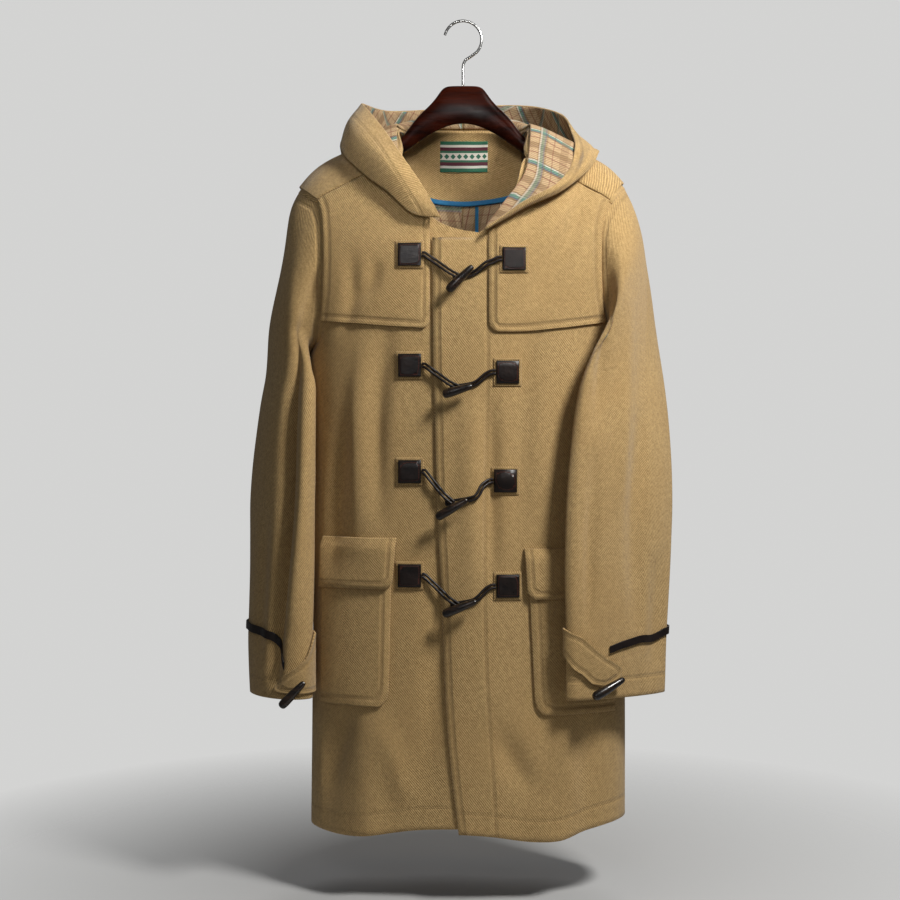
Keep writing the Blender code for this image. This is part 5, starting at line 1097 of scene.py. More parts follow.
BACK_TURNS = (-46, -23, 0, 26, 50, 72, 90)
BACK_LEVELS = (-0.415, -0.458, -0.530, -0.610, -0.700, -0.790, -0.880, -0.970, -1.030)
BACK_SHARES = (0.0, 0.13, 0.26, 0.39, 0.49, 0.58, 0.68, 0.78, 0.87, 0.935)


def back_half_grid(side):
    """Grid of one half of the back, from the centre seam to the side, on its outer face."""
    neck_x = curve([NeckRow(i, row.x) for i, row in enumerate(BACK_NECK)], "x", "drop")
    neck_turn = curve([NeckRow(i, row.turn) for i, row in enumerate(BACK_NECK)], "x", "drop")
    neck_places = [(float(neck_x(i)), float(neck_turn(i))) for i in (0, 1.4, 2.8, 4.0, 5.0, 6)]
    end_x = 0.1975 + side * float(centre_x(-0.2575))
    seam_start = neck_places[-1][0]
    seam_x = [seam_start + share * (end_x - seam_start) for share in SIDE_SHARES[1:]]
    top = neck_places + [(x, BACK_TURNS[0]) for x in seam_x]
    top += [(end_x - SIDE_STRIP, BACK_TURNS[0]), (end_x, BACK_TURNS[0])]
    count = len(top)
    rows_x, rows_turn = [], []
    for turn in BACK_TURNS:
        share = (turn - BACK_TURNS[0]) / (90 - BACK_TURNS[0])
        # at the quarter turn the columns are spread evenly between centre and armhole
        edge = float(back_armhole_top(turn)) + side * float(centre_x(-0.30))
        if turn == BACK_TURNS[0]:
            edge = end_x
        spread = [edge * s for s in BACK_SHARES] + [edge - SIDE_STRIP, edge]
        row_x = [a + share ** 0.7 * (b - a) for (a, _), b in zip(top, spread)]
        row_x[-2:] = [edge - SIDE_STRIP, edge]
        row_turn = [a + share * (90 - a) for _, a in top]
        rows_x.append([side * x for x in row_x])
        rows_turn.append([math.radians(a) for a in row_turn])
    xs, turns = np.array(rows_x), np.array(rows_turn)
    # the shoulder seam gives way by half the seam's gap
    turns[0, 5:] += SEAM / 2 / 0.11
    upper = Grid(form_point(xs, turns), form_normal(xs, turns))

    quarter_z = upper.points[-1, :, 2]
    lower_x, lower_z = [], []
    for level in ((quarter_z + BACK_LEVELS[0]) / 2,) + BACK_LEVELS + (None,):
        z = np.full(count, -1.083) if level is None else np.broadcast_to(level, (count,))
        edge_z = float(z[-1])
        edge = half_width(edge_z) if edge_z <= UNDERARM_Z + 1e-9 else back_armhole(edge_z)
        edge = float(edge) + side * float(centre_x(edge_z))
        row = [edge * s for s in BACK_SHARES] + [edge - SIDE_STRIP, edge]
        row = np.array([side * x for x in row])
        lower_x.append(row)
        lower_z.append(back_hem(row) if level is None else z)
    lower = grid_on_form(np.array(lower_x), np.array(lower_z), 1)
    grid = Grid(np.concatenate([upper.points, lower.points]),
                np.concatenate([upper.normals, lower.normals]))
    first = len(BACK_TURNS) + 1 + BACK_LEVELS.index(UNDERARM_Z)
    return with_side_seam(grid, first, side, 1)


def with_centre_gap(grid, side):
    points = grid.points.copy()
    points[:, 0, 0] = side * SEAM / 2
    normals = grid.normals.copy()
    normals[:, 0, 0] = 0
    return Grid(points, normals)


def whole_back(left, right):
    """Both halves of the back as one grid from the left side to the right."""
    middle = Grid(right.points[:, :1] * (0, 1, 1), right.normals[:, :1])
    return Grid(np.concatenate([left.points[:, :0:-1], middle.points, right.points[:, 1:]], axis=1),
                np.concatenate([left.normals[:, :0:-1], middle.normals, right.normals[:, 1:]],
                               axis=1))


# ---------------------------------------------------------------- sleeves
def sleeve_grid(side, table, front, back):
    """Grid of a whole sleeve: rows are rings, columns go from the top over the front.

    The first ring has the points of the armhole's own edge, so cloth meets cloth.
    """
    ridge_row = BACK_TURNS.index(0)
    underarm_front = FAN_STEPS + LEFT_LEVELS.index(UNDERARM_Z)
    underarm_back = len(BACK_TURNS) + 1 + BACK_LEVELS.index(UNDERARM_Z)
    places = [(back.points[r, -1], back.normals[r, -1]) for r in range(ridge_row, -1, -1)]
    places += [(front.points[r, -1], front.normals[r, -1]) for r in range(1, underarm_front + 1)]
    places += [(back.points[r, -1], back.normals[r, -1])
               for r in range(underarm_back - 1, ridge_row, -1)]
    hole = np.array([place for place, _ in places])
    hole_normals = np.array([normal for _, normal in places])
    first = table[0]
    angle = np.arctan2(-(hole[:, 1] - first.y) / first.depth, (hole[:, 2] - first.z) / first.rise)
    angle = np.mod(angle, 2 * math.pi)
    angle[0] = 0.0

    keys = [SleeveRing(i, 0, 0, 0, 0, 0, 0) for i in range(len(table))]
    columns = {}
    for name in SleeveRing._fields:
        rows = [NeckRow(key.x, getattr(row, name)) for key, row in zip(keys, table)]
        columns[name] = curve(rows, "x", "drop")

    def ring(v):
        value = {name: float(read(v)) for name, read in columns.items()}
        turn = math.radians(value["turn"])
        inward = value["depth"] * math.sin(turn)
        wide = math.sqrt(max(value["half_width"] ** 2 - inward ** 2, 1e-8))
        centre = np.array([side * value["x"], value["y"], value["z"]])
        out = np.array([side * wide, 0, value["rise"]])
        ahead = np.array([-side * inward, -value["depth"] * math.cos(turn), 0])
        turned = angle.copy()
        turned[underarm] += UNDERARM_DRIFT[side] * smooth_step(v / 1.5)
        return centre + np.outer(np.cos(turned), out) + np.outer(np.sin(turned), ahead)

    underarm = len(BACK_TURNS[:ridge_row + 1]) + underarm_front - 1
    start = ring(0)
    outward = np.array([side, 0, 0])
    begin = hole + outward * SEAM
    begin[underarm] += np.array([0, 0, SEAM])
    rings = [begin]
    steps = (len(table) - 1) * RINGS_BETWEEN
    levels = [0.12] + [k / RINGS_BETWEEN for k in range(1, steps + 1)]
    for v in levels:
        keep = 1 - smooth_step(v / 3.0)
        rings.append(ring(v) + (begin - start) * keep)
    points = np.array(rings)
    # eased round the armhole, and clear of the body, more and more over the first rings
    for turn in range(4):
        for r in range(1, len(points)):
            clearance = SLEEVE_CLEARANCE * min(1.0, 0.15 + levels[r - 1] * 0.7)
            moved = pushed_clear(points[r], clearance)
            x, z = points[r][:, 0], points[r][:, 2]
            within = (front_armhole(z) + 0.004 - np.abs(x - centre_x(z))) / 0.012
            over_body = smooth_step((-0.380 - z) / 0.090) * smooth_step(within)
            below_hole = smooth_step((UNDERARM_Z + 0.012 - z) / 0.018)
            share = np.maximum(over_body, below_hole)[:, None]
            points[r] = points[r] + (moved - points[r]) * share
        if turn < 3:
            last = min(12, len(points) - 1)
            eased = (points[0:last - 1] + points[2:last + 1]) / 2
            points[1:last] = (points[1:last] + eased) / 2
    normals = smooth_normals(points, closed=True)
    if np.sum(normals[-1, 0] * outward) < 0:
        normals = -normals
    for _ in range(2):
        eased = normals.copy()
        eased[1:-1] += (normals[:-2] + normals[2:]) / 2
        eased += (np.roll(normals, 1, axis=1) + np.roll(normals, -1, axis=1)) / 4
        normals = eased / np.linalg.norm(eased, axis=-1, keepdims=True)
    agree = np.sum(hole_normals * normals[0], axis=-1, keepdims=True)
    blend = smooth_step((agree - 0.45) / 0.4)
    mixed = hole_normals * blend + normals[0] * (1 - blend)
    normals[0] = mixed / np.linalg.norm(mixed, axis=-1, keepdims=True)
    return Grid(points, normals), underarm


def sleeve_half(grid, underarm, front):
    """One of the two panels of a sleeve, with half a seam's gap at its long edges."""
    count = grid.points.shape[1]
    columns = list(range(underarm + 1)) if front else list(range(underarm, count)) + [0]
    points = grid.points[:, columns].copy()
    for edge, inside in ((0, 1), (-1, -2)):
        step = points[:, inside] - points[:, edge]
        length = np.linalg.norm(step, axis=-1, keepdims=True)
        points[:, edge] += step / length * SEAM * 0.08
    return Grid(points, grid.normals[:, columns])


# ---------------------------------------------------------------- hood
def neckline_points():
    """Neckline as a line of points, from the left front end round the back to the right."""
    drop = curve(FRONT_NECK, "x", "drop")
    ahead = [np.array([x, turn_at(x, ridge_z(x) - drop(x), -1)])
             for x in np.linspace(NECK_END_X, JUNCTION_X, 24)]
    neck_x = curve([NeckRow(i, row.x) for i, row in enumerate(BACK_NECK)], "x", "drop")
    neck_turn = curve([NeckRow(i, row.turn) for i, row in enumerate(BACK_NECK)], "x", "drop")
    behind = [np.array([neck_x(i), math.radians(neck_turn(i))])
              for i in np.linspace(len(BACK_NECK) - 1.05, 0, 80)]
    half = ahead + behind
    right = np.array([form_point(x, turn) for x, turn in half])
    left = right * (-1, 1, 1)
    return np.concatenate([left[left[:, 0] < -0.0395], right[::-1][1:]])


def hood_grid():
    """Grid of the hood's outer face: columns go round the neck, rows from neck seam to rim."""
    line = neckline_points()
    sections = []
    for row in HOOD_ROWS:
        nearest = np.argmin(np.linalg.norm(line - np.array(row.neck), axis=1))
        on_lap = row.neck[0] > 0 and row.neck[2] < -0.21
        least = HOOD_START_ON_LAP if on_lap else HOOD_LIFT[0]
        start = pushed_clear(line[nearest:nearest + 1], least)[0]
        places = [start, row.stand, row.under, row.fold, row.flank, row.rim]
        sections.append(spline_through(places, HOOD_STEPS))
    sections = np.array(sections)
    # more sections between the rows, on smooth curves through them
    count = len(HOOD_ROWS)
    fine = []
    for r in range(sections.shape[1]):
        fine.append(spline_through(sections[:, r], 2))
    points = np.array(fine)
    for r in range(points.shape[0]):
        points[r] = pushed_clear(points[r], HOOD_LIFT[r])
    normals = smooth_normals(points)
    return Grid(points, normals), (count - 1)


# ---------------------------------------------------------------- what is sewn on
def square_piece(grid, near_is_right, x, z, size):
    """A square cut from a front's grid, its middle at x and z."""
    half = size / 2
    first, last = (x + half, x - half) if near_is_right else (x - half, x + half)
    return cut_out(grid, constant(first), constant(last), constant(z + half), constant(z - half))


def strand_pair(line, spread):
    """Out along one side of a line, round its end and back along the other side."""
    line = np.array(line)
    ahead = np.gradient(line, axis=0)
    ahead /= np.linalg.norm(ahead, axis=1, keepdims=True)
    aside = np.cross(ahead, (0, 1, 0))
    aside /= np.linalg.norm(aside, axis=1, keepdims=True)
    one = line + aside * spread
    other = line - aside * spread
    bend = [line[-1] + (aside[-1] * math.cos(a) + ahead[-1] * math.sin(a)) * spread
            for a in (math.radians(36), math.radians(72), math.radians(108), math.radians(144))]
    return np.concatenate([one, bend, other[::-1]])


def fastening(number, row, left, left_base, right, right_base, materials):
    """Squares, cord, loop and toggle of one fastening.

    left and right are the fronts' grids, left_base and right_base the heights on them of what
    the squares are sewn to.
    """
    trim, leather, square, horn = materials
    right_x = float(patch_right(row.right_z))
    for side, grid, base, x, z in (("left", left, left_base, PATCH_LEFT_X, row.left_z),
                                   ("right", right, right_base, right_x, row.right_z)):
        near_is_right = side == "left"
        lift = base + LAYER_GAP
        wall("backing_%s_%d" % (side, number),
             square_piece(grid, near_is_right, x, z, BACKING_SIZE), BACKING, trim, lift)
        wall("leather_square_%s_%d" % (side, number),
             square_piece(grid, near_is_right, x, z, PATCH_SIZE), LEATHER, square,
             lift + BACKING + LAYER_GAP)

    on_backing = LAYER_GAP + BACKING + SEAM + CORD_RADIUS
    low = LAYER_GAP + CORD_RADIUS
    high = low + 2 * CORD_RADIUS + SEAM
    lap = CLOTH + LAYER_GAP * 1.5
    start_x = PATCH_LEFT_X + PATCH_SIZE / 2 + 0.0008
    cross = (row.cross_x, row.cross_z)
    # cord of the toggle: over the lapping edge and over the loop, to the toggle's middle
    z_at = lambda x: row.left_z + (cross[1] - row.left_z) * smooth_step(
        (x - start_x) / (cross[0] - start_x)) * 0.5 + (cross[1] - row.left_z) * 0.5 * (
        (x - start_x) / (cross[0] - start_x))
    line = [place_on(left, start_x, row.left_z, left_base + on_backing),
            place_on(left, start_x + 0.004, row.left_z - 0.0004, left_base + on_backing)]
    edge_lift = max(left_base + on_backing, lap + LAYER_GAP + CORD_RADIUS + 0.0008)
    edge_x = float(lap_edge(cross[1]))
    line.append(place_on(left, edge_x - 0.006, z_at(edge_x - 0.006), edge_lift))
    line.append(place_on(right, edge_x + 0.003, z_at(edge_x + 0.003), edge_lift - lap))
    near_x = cross[0] - 0.0115
    line.append(place_on(right, near_x, z_at(near_x), high))
    line.append(place_on(right, cross[0], cross[1], high))
    tube("toggle_cord_%d" % number, strand_pair(line, CORD_SPREAD), CORD_RADIUS, leather)
    # loop: from the right square, down on the lapping front, under the toggle
    start_x = right_x - PATCH_SIZE / 2 - 0.0008
    end_x = cross[0] - 0.0055
    drop = cross[1] - row.right_z
    places = ((start_x, 0.0, right_base + on_backing),
              (start_x - 0.0055, 0.02, right_base + on_backing),
              (start_x - 0.0115, 0.16, right_base + low + 0.0012),
              (min(0.0290, start_x - 0.0150), 0.30, right_base + low + 0.0010),
              (0.0180, 0.66, low + 0.0010), (0.0090, 0.86, low), (end_x, 1.05, low))
    line = [place_on(right, x, row.right_z + drop * share, lift) for x, share, lift in places]
    tube("loop_%d" % number, strand_pair(line, CORD_SPREAD), CORD_RADIUS, leather)
    # toggle, on top of both
    lift = high + CORD_RADIUS + SEAM * 2 + TOGGLE_RADIUS
    thick = place_on(right, row.thick_x, row.thick_z, lift)
    thin = place_on(right, row.thin_x, row.thin_z, lift + 0.001)
    toggle("toggle_%d" % number, thick, thin, np.array([0, -0.002, 0]), horn)


def rounded_off(z, bottom, radius):
    """How far a round lower corner has drawn an edge in at a height above its bottom."""
    share = min(max(bottom + radius - z, 0) / radius, 1.0)
    return radius * (1 - math.sqrt(1 - (0.97 * share) ** 2))


def cape(name, grid, near, far, bottom, material):
    edge = curve(bottom, "x", "z")
    piece = cut_out(grid, near=near, far=far, bottom=lambda x: float(edge(x)))
    wall(name, piece, CLOTH, material, LAYER_GAP)
    return piece


def pocket(side, grid, row, material):
    """A patch pocket with a round lower corner, and the flap over its mouth."""
    sign = -1 if side == "left" else 1

    def edge(z):
        if z > row.round_z:
            share = (z - row.top) / (row.round_z - row.top)
            return row.edge_top_x + (row.edge_bottom_x - row.edge_top_x) * max(share, 0)
        share = min((row.round_z - z) / (row.round_z - row.bottom), 1.0)
        bend = 1 - math.sqrt(1 - (0.98 * share) ** 2)
        return row.edge_bottom_x + (row.corner_x - row.edge_bottom_x) * bend

    piece = cut_out(grid, near=edge, far=-2.3 * FC, top=constant(row.top), bottom=constant(row.bottom))
    wall("pocket_" + side, piece, CLOTH, material, 2 * LAYER_GAP)
    flap = cut_out(grid, near=lambda z: row.flap_x + (row.edge_top_x - row.flap_x)
                   * 0.8 * max(0, (row.flap_top - z) / (row.flap_top - row.flap_bottom))
                   + sign * rounded_off(z, row.flap_bottom, 0.011),
                   far=-2.2 * FC, top=constant(row.flap_top), bottom=constant(row.flap_bottom),
                   margin=0.05)
    drop = (flap.points[:1, :, 2] - flap.points[..., 2]) / 0.013
    lift = LAYER_GAP + (3 * LAYER_GAP + CLOTH) * np.clip(drop, 0, 1)
    lift = lift[..., None]
    cloth("pocket_flap_" + side, flap.points + flap.normals * (lift + CLOTH),
          flap.points + flap.normals * lift, material)


def toggle(name, thick, thin, bow, material):
    """A horn toggle between two places, bowed a little in the given direction."""
    line, radii = [], []
    for part in TOGGLE_SHAPE:
        line.append(thick + (thin - thick) * part.share
                    + bow * 4 * part.share * (1 - part.share))
        radii.append(part.radius)
    tube(name, line, TOGGLE_RADIUS, material, radii)


def band(name, grid, rows, thickness, lift, material):
    """A band sewn round part of a sleeve."""
    rows = [BandRow(row.around * FC, row.high * FR, row.low * FR) for row in rows]
    high = curve(rows, "around", "high")
    low = curve(rows, "around", "low")
    ends = rows[0].around, rows[-1].around
    stops = [ends[0]] + [k for k in range(math.ceil(ends[0] + 0.2), math.floor(ends[1] - 0.2) + 1)]
    stops.append(ends[1])
    count = grid.points.shape[1]
    turned = Grid(np.concatenate([grid.points[:, count // 2:], grid.points], axis=1),
                  np.concatenate([grid.normals[:, count // 2:], grid.normals], axis=1))
    offset = count - count // 2
    piece = between(turned, [(float(high(k)), k + offset) for k in stops],
                    [(float(low(k)), k + offset) for k in stops])
    wall(name, piece, thickness, material, lift)


def cuff(side, grid, cloth_material, leather, horn):
    """Tab, leather strap and toggle of one cuff."""
    lift = 2 * LAYER_GAP
    band("cuff_tab_" + side, grid, CUFF_TABS[side], CLOTH, lift, cloth_material)
    band("cuff_strap_" + side, grid, CUFF_STRAPS[side], LEATHER, lift, leather)
    row = CUFF_TOGGLES[side]
    ends = []
    for ring, around in ((row.thick_ring, row.thick_around), (row.thin_ring, row.thin_around)):
        point, normal = at_index(grid, ring * FR, around * FC)
        ends.append(point + normal / np.linalg.norm(normal)
                    * (lift + CLOTH + SEAM * 6 + TOGGLE_RADIUS))
    toggle("cuff_toggle_" + side, ends[0], ends[1], np.array([0, -0.001, 0]), horn)


def neck_pieces(back, facing_material, tape, label_material):
    """What shows inside the back of the neck: facing, its bound edge, label and seam binding."""
    middle = (back.points.shape[1] - 1) // 2
    near, far = middle - FACING_COLUMNS * FC, middle + FACING_COLUMNS * FC
    edge = curve(FACING_BOTTOM, "x", "z")
    facing = cut_out(back, near=near, far=far, bottom=lambda x: float(edge(x)))
    inside = -(CLOTH + LAYER_GAP)
    wall("neck_facing", facing, FACING, facing_material, inside)
    binding = cut_out(back, near=near, far=far, top=lambda x: float(edge(x)) + BINDING_WIDTH,
                      bottom=lambda x: float(edge(x)) - 0.0005)
    on_facing = inside - FACING - 2 * LAYER_GAP
    wall("facing_binding", binding, TAPE, tape, on_facing)
    label = cut_out(back, near=constant(LABEL_X - LABEL_HALF), far=constant(LABEL_X + LABEL_HALF),
                    top=constant(LABEL_TOP), bottom=constant(LABEL_BOTTOM))
    wall("neck_label", label, TAPE, label_material, on_facing)
    half = BACK_BINDING_WIDTH / 2
    strip = cut_out(back, near=constant(BACK_BINDING_X - half),
                    far=constant(BACK_BINDING_X + half),
                    top=lambda x: float(edge(x)) - 0.0012, bottom=constant(-1.060))
    wall("centre_back_binding", strip, TAPE, tape, inside)


def hanger_wood(material):
    top = curve(HANGER, "x", "top")
    bottom = curve(HANGER, "x", "bottom")
    thick = curve(HANGER, "x", "half_thick")
    xs = [-row.x for row in reversed(HANGER)] + [row.x for row in HANGER[1:]]
    count = 12
    vertices = []
    for x in xs:
        reach = abs(x)
        high = float(top(reach))
        if reach > 0.0795:
            slope = float(ridge_z(reach + 0.005) - ridge_z(reach - 0.005)) / 0.01
            under = float(ridge_z(reach)) - CLOTH * math.sqrt(1 + slope ** 2) - HANGER_GAP
            high = min(high, under)
        low = float(bottom(reach))
        middle, half = (high + low) / 2, (high - low) / 2
        for k in range(count):
            a = 2 * math.pi * (k + 0.5) / count
            y = math.cos(a) * float(thick(reach))
            z = math.sin(a) * half / 0.966
            vertices.append((x, float(middle_y(x)) + y, middle + z))
    faces = []
    for i in range(len(xs) - 1):
        for k in range(count):
            a = i * count + k
            b = i * count + (k + 1) % count
            faces.append((a, b, b + count, a + count))
    faces.append(tuple(reversed(range(count))))
    last = (len(xs) - 1) * count
    faces.append(tuple(range(last, last + count)))
    mesh = bpy.data.meshes.new("hanger_wood")
    mesh.from_pydata([tuple(float(v) for v in vertex) for vertex in vertices], [], faces)
    mesh.polygons.foreach_set("use_smooth", np.ones(len(faces), dtype=bool))
    piece = add_object("hanger_wood", mesh, (material,))
    smoother = piece.modifiers.new("smooth", "SUBSURF")
    smoother.levels = 2
    smoother.render_levels = 2


def hanger_hook(material):
    middle = HOOK_WIRE - HOOK_RADIUS
    line = []
    for degrees in range(166, -52, -14):
        a = math.radians(degrees)
        line.append((HOOK_RADIUS * math.cos(a), 0, middle + HOOK_RADIUS * math.sin(a)))
    line += [(0.0100, 0, -0.0475), (0.0035, 0, -0.0520), (0.0005, 0, -0.0580), (0, 0, -0.0650),
             (0, 0, -0.0865)]
    tube("hanger_hook", line, HOOK_WIRE, material)


# ---------------------------------------------------------------- materials
class Nodes:
    """Short calls for the nodes of one material."""

    def __init__(self, name, colour, roughness, metallic=0.0):
        self.material = bpy.data.materials.new(name)
        self.material.use_nodes = True
        self.tree = self.material.node_tree
        self.shader = self.tree.nodes["Principled BSDF"]
        self.shader.inputs["Base Color"].default_value = (*colour, 1)
        self.shader.inputs["Roughness"].default_value = roughness
        self.shader.inputs["Metallic"].default_value = metallic

    def put(self, socket, value):
        if isinstance(value, bpy.types.NodeSocket):
            self.tree.links.new(value, socket)
        elif isinstance(value, tuple) and len(value) == 3 and socket.type == "RGBA":
            socket.default_value = (*value, 1)
        else:
            socket.default_value = value

    def math(self, operation, a, b=0.0, c=0.0):
        node = self.tree.nodes.new("ShaderNodeMath")
        node.operation = operation
        for socket, value in zip(node.inputs, (a, b, c)):
            self.put(socket, value)
        return node.outputs[0]

    def uv(self, name):
        node = self.tree.nodes.new("ShaderNodeUVMap")
        node.uv_map = name
        parts = self.tree.nodes.new("ShaderNodeSeparateXYZ")
        self.put(parts.inputs[0], node.outputs[0])
        return node.outputs[0], parts.outputs[0], parts.outputs[1]

    def place(self):
        return self.tree.nodes.new("ShaderNodeTexCoord").outputs["Object"]

    def noise(self, vector, scale, detail=3.0, rough=0.55, stretch=None):
        if stretch is not None:
            turn = self.tree.nodes.new("ShaderNodeMapping")
            self.put(turn.inputs["Vector"], vector)
            turn.inputs["Scale"].default_value = stretch
            vector = turn.outputs[0]
        node = self.tree.nodes.new("ShaderNodeTexNoise")
        self.put(node.inputs["Vector"], vector)
        node.inputs["Scale"].default_value = scale
        node.inputs["Detail"].default_value = detail
        node.inputs["Roughness"].default_value = rough
        return node.outputs[0]

    def span(self, value, a, b, low=0.0, high=1.0):
        node = self.tree.nodes.new("ShaderNodeMapRange")
        self.put(node.inputs["Value"], value)
        for title, number in (("From Min", a), ("From Max", b), ("To Min", low),
                              ("To Max", high)):
            node.inputs[title].default_value = number
        return node.outputs[0]

    def smooth(self, *numbers):
        result = self.span(*numbers)
        result.node.interpolation_type = "SMOOTHSTEP"
        return result

    def mix(self, share, a, b, blend="MIX"):
        node = self.tree.nodes.new("ShaderNodeMix")
        node.data_type = "RGBA"
        node.blend_type = blend
        self.put(node.inputs[0], share)
        self.put(node.inputs[6], a)
        self.put(node.inputs[7], b)
        return node.outputs[2]

    def bump(self, height, strength=1.0):
        node = self.tree.nodes.new("ShaderNodeBump")
        node.inputs["Strength"].default_value = strength
        node.inputs["Distance"].default_value = 1.0
        self.put(node.inputs["Height"], height)
        self.put(self.shader.inputs["Normal"], node.outputs[0])


def twill(nodes, u, v, place, angle, period):
    """Diagonal ribs of a twill, from 0 to 1, slightly uneven."""
    a = math.radians(angle)
    along = nodes.math("MULTIPLY_ADD", u, math.cos(a) / period,
                       nodes.math("MULTIPLY", v, math.sin(a) / period))
    uneven = nodes.noise(place, 90.0, 2.0)
    phase = nodes.math("MULTIPLY_ADD", along, 2 * math.pi, nodes.math("MULTIPLY", uneven, 5.0))
    return nodes.math("MULTIPLY_ADD", nodes.math("SINE", phase), 0.5, 0.5)


def wool(name, angle, stitches=(), colour=CAMEL):
    """Thick camel twill with a short nap, and rows of stitches sunk in it, with painted shade in their
    grooves.
    """
    nodes = Nodes("wool_" + name, colour, 0.93)
    vector, u, v = nodes.uv("weave")
    place = nodes.place()
    ribs = twill(nodes, u, v, place, angle, 0.0024)
    fibres = nodes.noise(place, 900.0, 3.0, 0.7)
    tufts = nodes.noise(place, 220.0, 3.0, 0.65)
    clouds = nodes.noise(place, 9.0, 3.0, 0.5)
    dark = tuple(c * k for c, k in zip(colour, (0.52, 0.49, 0.43)))
    light = tuple(min(1.0, c * k) for c, k in zip(colour, (1.36, 1.42, 1.52)))
    shade = nodes.math("MULTIPLY_ADD", ribs, 0.50, nodes.math("MULTIPLY", fibres, 1.20))
    shade = nodes.math("MULTIPLY_ADD", tufts, 0.75, nodes.math("SUBTRACT", shade, 0.70))
    tone = nodes.mix(nodes.span(shade, 0.14, 0.90), dark, light)
    tone = nodes.mix(nodes.span(clouds, 0.35, 0.65, 0.0, 0.30), tone,
                     tuple(c * k for c, k in zip(colour, (0.86, 0.80, 0.72))))
    height = nodes.math("MULTIPLY", ribs, 0.00042)
    height = nodes.math("MULTIPLY_ADD", fibres, 0.00034, height)
    height = nodes.math("MULTIPLY_ADD", tufts, 0.00060, height)
    for k, (_, _, strength) in enumerate(stitches):
        _, away, along = nodes.uv("stitch%d" % k)
        away = nodes.math("ABSOLUTE", away)
        groove_and_shade = nodes.smooth(away, 0.0002, 0.0046, strength, 0.0)
        thread = nodes.span(away, 0.0004, 0.0009, 1.0, 0.0)
        dash = nodes.math("FRACT", nodes.math("MULTIPLY", along, 1 / 0.0048))
        dash = nodes.math("LESS_THAN", dash, 0.74)
        thread = nodes.math("MULTIPLY", thread, dash)
        # painted shade: the colour is darkened along each stitch groove as if its hollow lay in
        # shadow; the thread's own colour goes on after
        tone = nodes.mix(nodes.math("MULTIPLY", groove_and_shade, 0.16), tone, (0.10, 0.052, 0.018))
        tone = nodes.mix(nodes.math("MULTIPLY", thread, 0.12), tone, (0.25, 0.150, 0.060))
        height = nodes.math("MULTIPLY_ADD", groove_and_shade, -0.0016, height)
        height = nodes.math("MULTIPLY_ADD", thread, 0.0003, height)
    nodes.put(nodes.shader.inputs["Base Color"], tone)
    nodes.shader.inputs["Sheen Weight"].default_value = 0.18
    nodes.shader.inputs["Sheen Roughness"].default_value = 0.5
    nodes.shader.inputs["Specular IOR Level"].default_value = 0.10
    nodes.bump(height, 0.9)
    return nodes.material


def plaid(name, turn=0.0):
    """The cloth's inner face: a check of broad and thin bars on camel."""
    nodes = Nodes("plaid_" + name, (0.30, 0.18, 0.08), 0.95)
    vector, u, v = nodes.uv("weave")
    place = nodes.place()
    tone = nodes.mix(nodes.noise(place, 300.0), (0.44, 0.30, 0.165), (0.58, 0.415, 0.245))
    for way, (line, amount) in enumerate(((u, 1.0), (v, 0.6))):
        pitch = 0.062 if way == 0 else 0.068
        at = nodes.math("FRACT", nodes.math("MULTIPLY_ADD", line, 1 / pitch, 0.37 + turn))
        for centre, half, colour, strength in PLAID_BARS:
            away = nodes.math("ABSOLUTE", nodes.math("SUBTRACT", at, centre))
            bar = nodes.span(away, half, half + 0.008, amount * strength, 0.0)
            tone = nodes.mix(bar, tone, colour)
    ribs = twill(nodes, u, v, place, 45, 0.0030)
    tone = nodes.mix(nodes.math("MULTIPLY", ribs, 0.35), tone, (0.10, 0.07, 0.05), "MULTIPLY")
    nodes.put(nodes.shader.inputs["Base Color"], tone)
    nodes.shader.inputs["Specular IOR Level"].default_value = 0.1
    height = nodes.math("MULTIPLY_ADD", ribs, 0.0002,
                        nodes.math("MULTIPLY", nodes.noise(place, 700.0), 0.0004))
    nodes.bump(height, 0.8)
    return nodes.material


def leather_material(name, sewn=False):
    """Dark leather; sewn adds the padded edge and the stitches of a square."""
    nodes = Nodes("dark_leather_" + name, (0.012, 0.008, 0.006), 0.40)
    nodes.shader.inputs["Specular IOR Level"].default_value = 0.35
    place = nodes.place()
    grain = nodes.noise(place, 420.0, 4.0, 0.65)
    folds = nodes.noise(place, 70.0, 3.0, 0.55)
    tone = nodes.mix(nodes.span(folds, 0.3, 0.7), (0.006, 0.0042, 0.004), (0.018, 0.011, 0.009))
    height = nodes.math("MULTIPLY_ADD", grain, 0.00022, nodes.math("MULTIPLY", folds, 0.0010))
    if sewn:
        _, away, along = nodes.uv("stitch0")
        edge = nodes.smooth(away, -0.0024, 0.0012, 0.0, 1.0)
        height = nodes.math("MULTIPLY_ADD", edge, 0.0014, height)
        away = nodes.math("ABSOLUTE", away)
        thread = nodes.span(away, 0.0003, 0.0006, 1.0, 0.0)
        dash = nodes.math("FRACT", nodes.math("MULTIPLY", along, 1 / 0.0032))
        thread = nodes.math("MULTIPLY", thread, nodes.math("LESS_THAN", dash, 0.7))
        tone = nodes.mix(nodes.math("MULTIPLY", thread, 0.8), tone, (0.085, 0.022, 0.014))
        height = nodes.math("MULTIPLY_ADD", nodes.smooth(away, 0.0, 0.0010, 1.0, 0.0), -0.0006,
                            height)
    nodes.put(nodes.shader.inputs["Base Color"], tone)
    nodes.put(nodes.shader.inputs["Roughness"], nodes.span(grain, 0.3, 0.7, 0.26, 0.50))
    nodes.bump(height, 0.8)
    return nodes.material


